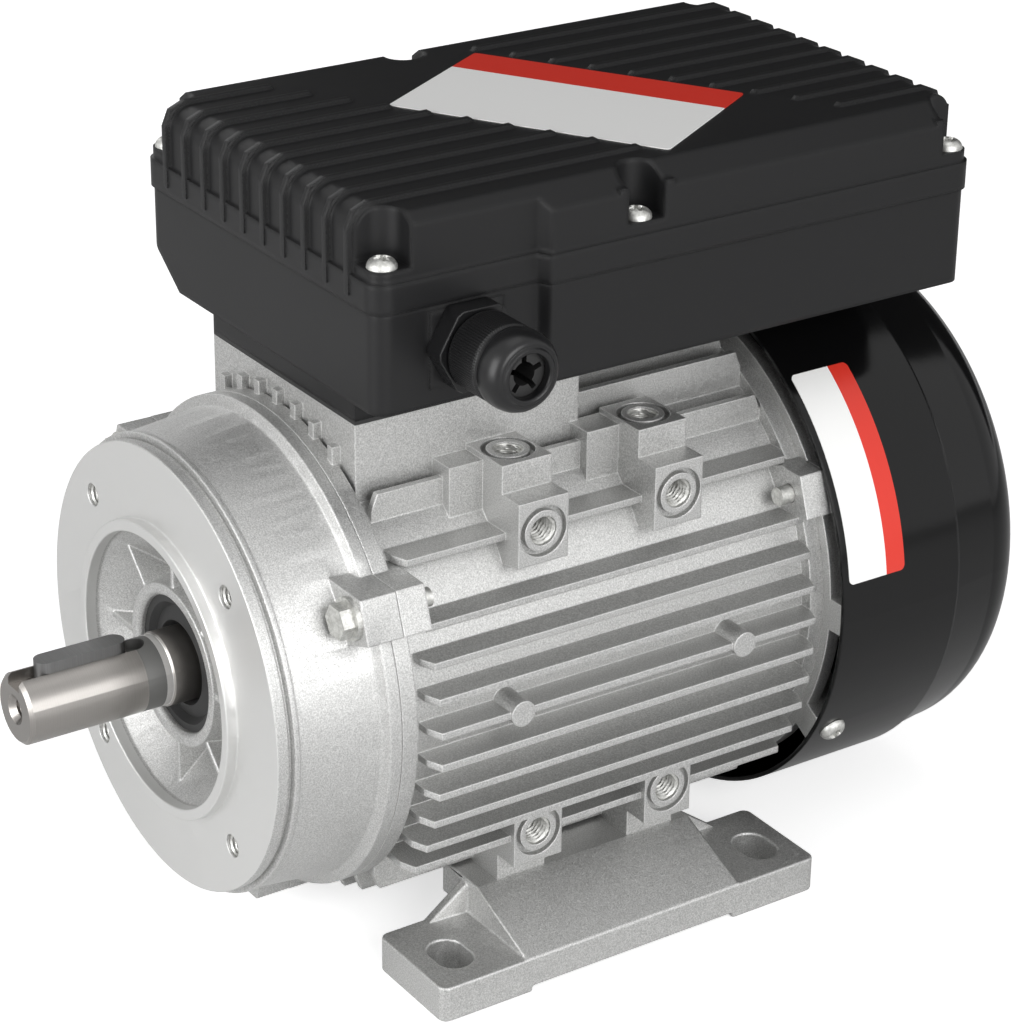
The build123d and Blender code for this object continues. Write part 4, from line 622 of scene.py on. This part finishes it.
def round_edges(node, width):
    """A copy of a node whose edges sharper than the given angle are rounded by a bevel."""
    mesh = nodes[node].data.copy()
    work = bmesh.new()
    work.from_mesh(mesh)
    bmesh.ops.remove_doubles(work, verts=work.verts, dist=same_point)
    bmesh.ops.dissolve_limit(work, angle_limit=flat_within, verts=work.verts, edges=work.edges)
    work.to_mesh(mesh)
    work.free()
    mesh.shade_smooth()
    mesh.set_sharp_from_angle(angle=sharp_from)
    piece = bpy.data.objects.new(node + "_rounded", mesh)
    bpy.context.scene.collection.objects.link(piece)
    bevel = piece.modifiers.new("edge", "BEVEL")
    bevel.width = width * mm
    bevel.segments = 2
    bevel.limit_method = "ANGLE"
    bevel.angle_limit = sharp_from
    bevel.use_clamp_overlap = False
    bevel.miter_outer = "MITER_ARC"
    bevel.harden_normals = True
    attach(piece, body_of[node])
    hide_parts(node)
    return piece


for node, width in edge_widths.items():
    made = round_edges(node, width)
    print(made.name, len(made.data.polygons), "faces before the bevel")

# %% [markdown]
# The next pieces are drawn as grids of points that numpy works out at once. A grid is a sheet
# P(u, v); a sheet that closes on itself wraps round. Sizes are in millimetres in the formulas.

# %% Grid helpers
grid_point, grid_sharp = 1e-7, radians(40.0)


def grid_piece(name, grids, material, body, inward=False):
    """One mesh from grids of points (rows, columns, 3) whose columns wrap round."""
    points, faces, base = [], [], 0
    for grid in grids:
        rows, columns = grid.shape[:2]
        row, column = np.meshgrid(np.arange(rows - 1), np.arange(columns), indexing="ij")
        beside = (column + 1) % columns
        quads = np.stack([row * columns + column, row * columns + beside, (row + 1) * columns + beside,
                          (row + 1) * columns + column], -1)
        faces.append(quads.reshape(-1, 4) + base)
        points.append(grid.reshape(-1, 3) * mm)
        base += rows * columns
    mesh = bpy.data.meshes.new(name)
    mesh.from_pydata(np.concatenate(points).tolist(), [], np.concatenate(faces).tolist())
    work = bmesh.new()
    work.from_mesh(mesh)
    bmesh.ops.remove_doubles(work, verts=work.verts, dist=grid_point)
    bmesh.ops.recalc_face_normals(work, faces=work.faces)
    if inward:
        bmesh.ops.reverse_faces(work, faces=work.faces)
    work.to_mesh(mesh)
    work.free()
    mesh.shade_smooth()
    mesh.set_sharp_from_angle(angle=grid_sharp)
    mesh.materials.append(material)
    piece = bpy.data.objects.new(name, mesh)
    bpy.context.scene.collection.objects.link(piece)
    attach(piece, body)
    return piece


def frame_of(axis):
    """Two unit vectors square to the axis and to each other."""
    axis = np.asarray(axis, float)
    helper = np.array([0, 0, 1.0]) if abs(axis[2]) < 0.9 else np.array([1.0, 0, 0])
    first = np.cross(helper, axis)
    first = first / np.linalg.norm(first)
    return axis, first, np.cross(axis, first)


def lathe(profile, origin, axis, count, ripple=0.0, sink=0.0):
    """P(u, t) = O + (a(u) - sink) A + (r(u) + ripple) (cos t B + sin t C)."""
    axis, first, second = frame_of(axis)
    t = np.arange(count) * 2 * pi / count
    r, a = np.asarray(profile, float).T
    radius = r[:, None] + ripple * np.ones((1, count))
    along = a[:, None] - sink * np.ones((1, count))
    ring = np.cos(t)[:, None] * first + np.sin(t)[:, None] * second
    return np.asarray(origin, float) + along[..., None] * axis + radius[..., None] * ring[None]


print("grid helpers are ready")

# %% [markdown]
# Threads show in every tapped hole. The sleeve inside a hole is a helical ridge: its radius is
# r - d (1 - |2 frac(a / p - t / 2 pi) - 1|), with pitch p and depth d, and it runs in over a short way.

# %% Threads of the tapped holes
thread_start, thread_run_in, thread_play = 0.5, 0.6, 0.03
thread_columns, rings_per_turn = 40, 8


def thread(origin, inward_axis, r, pitch, depth, length):
    """P(a, t) = O + a A + radius(a, t) (cos t B + sin t C), with the helical radius given above."""
    axis, first, second = frame_of(inward_axis)
    t = np.arange(thread_columns) * 2 * pi / thread_columns
    a = np.linspace(thread_start, length, int(length / pitch * rings_per_turn))
    wave = np.abs(2 * np.mod(a[:, None] / pitch - t[None] / (2 * pi), 1.0) - 1)
    run_in = np.clip((a[:, None] - thread_start) / thread_run_in, 0, 1)
    radius = r - thread_play - depth * (1 - wave) * run_in
    ring = np.cos(t)[:, None] * first + np.sin(t)[:, None] * second
    return np.asarray(origin, float) + a[:, None, None] * axis + radius[..., None] * ring[None]


boss_tap = {"r": 4.0, "pitch": 1.25, "depth": 0.7, "length": 12.0}
flange_tap = {"r": 3.0, "pitch": 1.0, "depth": 0.55, "length": 9.0}
centre_tap = {"r": 2.5, "pitch": 0.8, "depth": 0.42, "length": 11.0}
boss_y, boss_axis_at, boss_reach = (77.5, 119.5), 43.5, 60.0
flange_circle, shaft_end_y = 50, -39.9
boss_threads = []
for y in boss_y:
    for up in (1, -1):
        for side in (1, -1):
            at_side = (side * boss_reach, y, up * boss_axis_at)
            boss_threads.append(thread(at_side, (-side, 0, 0), **boss_tap))
            if up > 0:
                on_top = (side * boss_axis_at, y, boss_reach)
                boss_threads.append(thread(on_top, (0, 0, -1), **boss_tap))
hole_angles = [radians(a) for a in (45, 135, 225, 315)]
flange_threads = [thread((flange_circle * cos(a), 0, flange_circle * sin(a)), (0, 1, 0), **flange_tap)
                  for a in hole_angles]
centre_thread = [thread((0, shaft_end_y, 0), (0, 1, 0), **centre_tap)]
grid_piece("boss_threads", boss_threads, slot_finish["zinc_screws"], "stator",
           inward=True)
grid_piece("flange_threads", flange_threads, slot_finish["zinc_screws"], "stator",
           inward=True)
grid_piece("centre_hole_thread", centre_thread, slot_finish["shaft_steel"], "rotor",
           inward=True)
print("threads:", len(boss_threads) + len(flange_threads) + len(centre_thread))

# %% [markdown]
# Pan heads with a cross recess. The head is a dome h (1 - (r / R)^2.6)^0.5, and the cross is two
# soft-edged slots that are deepest in the middle. A cut with a solid would leave ragged faces there.

# %% Pan-head screws
dome_power, ring_crowding = 2.6, 0.8
arm_share, slot_share, cross_depth_share = 0.56, 0.15, 0.62


def pan_head(origin, axis, head_r, head_h, shank_r, shank_length):
    """Dome with a cross, a flat underside and a plain shank, as one closed sheet of rings."""
    count = 96
    r = head_r * np.linspace(0, 1, 34) ** ring_crowding
    dome = head_h * np.sqrt(np.clip(1 - (r / head_r) ** dome_power, 0, 1))
    under = [(head_r, 0.0), (shank_r, 0.0), (shank_r, -shank_length), (0.0, -shank_length)]
    profile = list(zip(r, dome)) + under
    t = np.arange(count) * 2 * pi / count
    x = r[:, None] * np.cos(t)
    y = r[:, None] * np.sin(t)
    arm = arm_share * head_r
    half = slot_share * head_r

    def slot(across, along):
        """1 inside one slot of the cross, 0 outside, with a slope at its walls and ends."""
        wall = np.clip((half * 1.35 - np.abs(across)) / (half * 0.5), 0, 1)
        end = np.clip((arm - np.abs(along)) / (0.25 * arm), 0, 1)
        return wall * end

    depth = np.zeros((len(profile), count))
    depth[:len(r)] = np.maximum(slot(x, y), slot(y, x)) * head_h * cross_depth_share
    return lathe(profile, origin, axis, count, sink=depth)


cover_screw = {"head_r": 3.8, "head_h": 2.6, "shank_r": 1.98, "shank_length": 20.4}
cowl_screw = {"head_r": 3.8, "head_h": 2.36, "shank_r": 1.98, "shank_length": 8.0}
pocket_floor = 120.0
cowl_screw_radius, cowl_screw_y = 76.02, 171.0
cover_places = [(52.4, 35.1), (-52.4, 35.1), (55.9, 106.5), (-52.4, 106.5), (55.9, 206.9), (-52.4, 206.9)]
cover_heads = [pan_head((x, y, pocket_floor), (0, 0, 1), **cover_screw) for x, y in cover_places]
piece = grid_piece("cover_pan_heads", cover_heads, slot_finish["zinc_screws"], "stator")
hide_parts("cover_screws")
cowl_angles = [radians(a) for a in (90, 210, 330)]
cowl_heads = [pan_head((cowl_screw_radius * cos(a), cowl_screw_y, cowl_screw_radius * sin(a)),
                       (cos(a), 0, sin(a)), **cowl_screw) for a in cowl_angles]
piece = grid_piece("cowl_pan_heads", cowl_heads, slot_finish["zinc_screws"], "stator")
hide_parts("cowl_screws")
print("pan heads:", len(cover_heads) + len(cowl_heads))

# %% [markdown]
# The gland's cap: fine ridges round its grip, a smooth groove, and a domed nose whose rim is rolled
# into the hole. The ridges add 0.16 sin(90 t) to the radius.

# %% Gland cap
gland_at = (0, 56, 98.5)
cap_columns, ridges, ridge_height = 540, 90, 0.16
grip_rows = slice(2, 7)
nose = [(8.03, 64.1), (9.7, 64.1), (9.95, 64.5), (10.0, 65.2), (10.0, 69.0), (10.0, 73.6), (9.95, 74.6),
        (9.5, 75.0), (9.45, 76.0), (9.9, 76.4), (10.25, 77.2), (10.28, 79.0), (10.05, 80.8), (9.5, 82.3),
        (8.7, 83.4), (7.9, 83.9), (7.45, 83.85), (7.2, 84.1), (6.9, 84.5), (6.4, 84.6), (5.95, 84.4),
        (5.7, 83.9), (5.62, 83.2), (5.62, 82.2), (7.02, 82.1), (7.02, 73.2), (8.03, 73.2), (8.03, 64.1)]
flutes = np.zeros((len(nose), cap_columns))
ripple_t = np.arange(cap_columns) * 2 * pi / cap_columns
flutes[grip_rows] = ridge_height * np.sin(ridges * ripple_t)
cap = grid_piece("gland_cap_ridged", [lathe(nose, gland_at, (1, 0, 0), cap_columns, ripple=flutes)],
                 slot_finish["gland_plastic"], "stator")
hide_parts("gland_cap")
print("gland cap:", len(cap.data.polygons), "faces")

# %% [markdown]
# Two blank labels: a red band over a white field, with nothing written on them. Their corners are
# rounded: at a distance s along the label the half width is H - c + sqrt(c^2 - (|s| - S + c)^2).

# %% Blank labels
label_white, label_red = (0.90, 0.90, 0.89, 1), (0.68, 0.035, 0.02, 1)
sheet_thickness, rows_along, rows_across = 0.22, 49, 13


def label_sheet(half_length, half_width, corner, place):
    """A thin closed sheet; place(s, w, h) puts the length, width and height into space."""
    s = half_length * np.sin(np.linspace(-pi / 2, pi / 2, rows_along))
    over = np.clip(np.abs(s) - (half_length - corner), 0, corner)
    width = half_width - corner + np.sqrt(corner ** 2 - over ** 2)
    thick = np.where(np.abs(s) > half_length * 0.9999, 0.0, sheet_thickness)
    v = np.linspace(-1, 1, rows_across)
    across = np.concatenate([v, v[::-1]])[None] * width[:, None]
    height = np.concatenate([np.ones(rows_across), np.zeros(rows_across)])[None] * thick[:, None]
    return place(s[:, None] * np.ones_like(across), across, height)


def label_paint(name, start, direction, edge):
    """White with a red band: what lies less than the edge beyond the start, along the direction."""
    made, tree, body = shader(name, Roughness=0.32)
    where = add(tree, "ShaderNodeTexCoord")
    dot = add(tree, "ShaderNodeVectorMath", operation="DOT_PRODUCT")
    dot.inputs[1].default_value = direction
    tree.links.new(where.outputs["Object"], dot.inputs[0])
    is_red = add(tree, "ShaderNodeMath", operation="LESS_THAN")
    is_red.inputs[1].default_value = float(np.dot(start, direction)) + edge
    tree.links.new(dot.outputs["Value"], is_red.inputs[0])
    mix = add(tree, "ShaderNodeMix", data_type="RGBA")
    mix.inputs["A"].default_value = label_white
    mix.inputs["B"].default_value = label_red
    tree.links.new(is_red.outputs[0], mix.inputs["Factor"])
    tree.links.new(mix.outputs["Result"], body.inputs["Base Color"])
    return made


print("labels are a sheet of", rows_along, "by", 2 * rows_across, "points")

# %% [markdown]
# The larger label lies flat on the box's ribs, turned against the motor's axis, with its red band
# along one long edge.

# %% Label on the box
box_label_turn = radians(31.1)
box_label_length, box_label_width, box_band_width = 78.0, 51.0, 14.0
box_label_centre = np.array([4.0, 121.5, 133.2])
long_way = np.array([cos(box_label_turn), sin(box_label_turn), 0])
short_way = np.array([sin(box_label_turn), -cos(box_label_turn), 0])
up_way = np.array([0, 0, 1.0])
rest_gap = 0.01


def on_box(s, w, h):
    """P = centre + s along + w across + (h + gap) up."""
    return (box_label_centre + s[..., None] * long_way + w[..., None] * short_way
            + (h + rest_gap)[..., None] * up_way)


box_sheet = label_sheet(box_label_length / 2, box_label_width / 2, 1.2, on_box)
box_label_edge = (box_label_centre - box_label_width / 2 * short_way) * mm
box_paint = label_paint("box_label_print", box_label_edge, tuple(short_way), box_band_width * mm)
grid_piece("box_label", [box_sheet], box_paint, "stator")
print("box label:", box_label_length, "by", box_label_width, "mm")

# %% [markdown]
# The smaller label is rolled round the cowl: a way s along it is an angle s / r round the axis.

# %% Label on the cowl
label_r, label_mid, label_half = 76.02, radians(30.65), radians(22.35)
cowl_label_y, cowl_label_half_width, cowl_band_width = 175.35, 9.45, 6.3


def on_cowl(s, w, h):
    """P = ((r + h) cos(m + s / r), y + w, (r + h) sin(m + s / r)), with the middle angle m."""
    angle = label_mid + s / label_r
    radius = label_r + h
    return np.stack([radius * np.cos(angle), cowl_label_y + w, radius * np.sin(angle)], -1)


cowl_sheet = label_sheet(label_r * label_half, cowl_label_half_width, 1.6, on_cowl)
cowl_label_edge = (0, (cowl_label_y + cowl_label_half_width) * mm, 0)
cowl_label_paint = label_paint("cowl_label_print", cowl_label_edge, (0.0, -1.0, 0.0),
                               cowl_band_width * mm)
grid_piece("cowl_label", [cowl_sheet], cowl_label_paint, "stator")
print("cowl label:", round(2 * label_r * label_half, 1), "by", 2 * cowl_label_half_width, "mm")
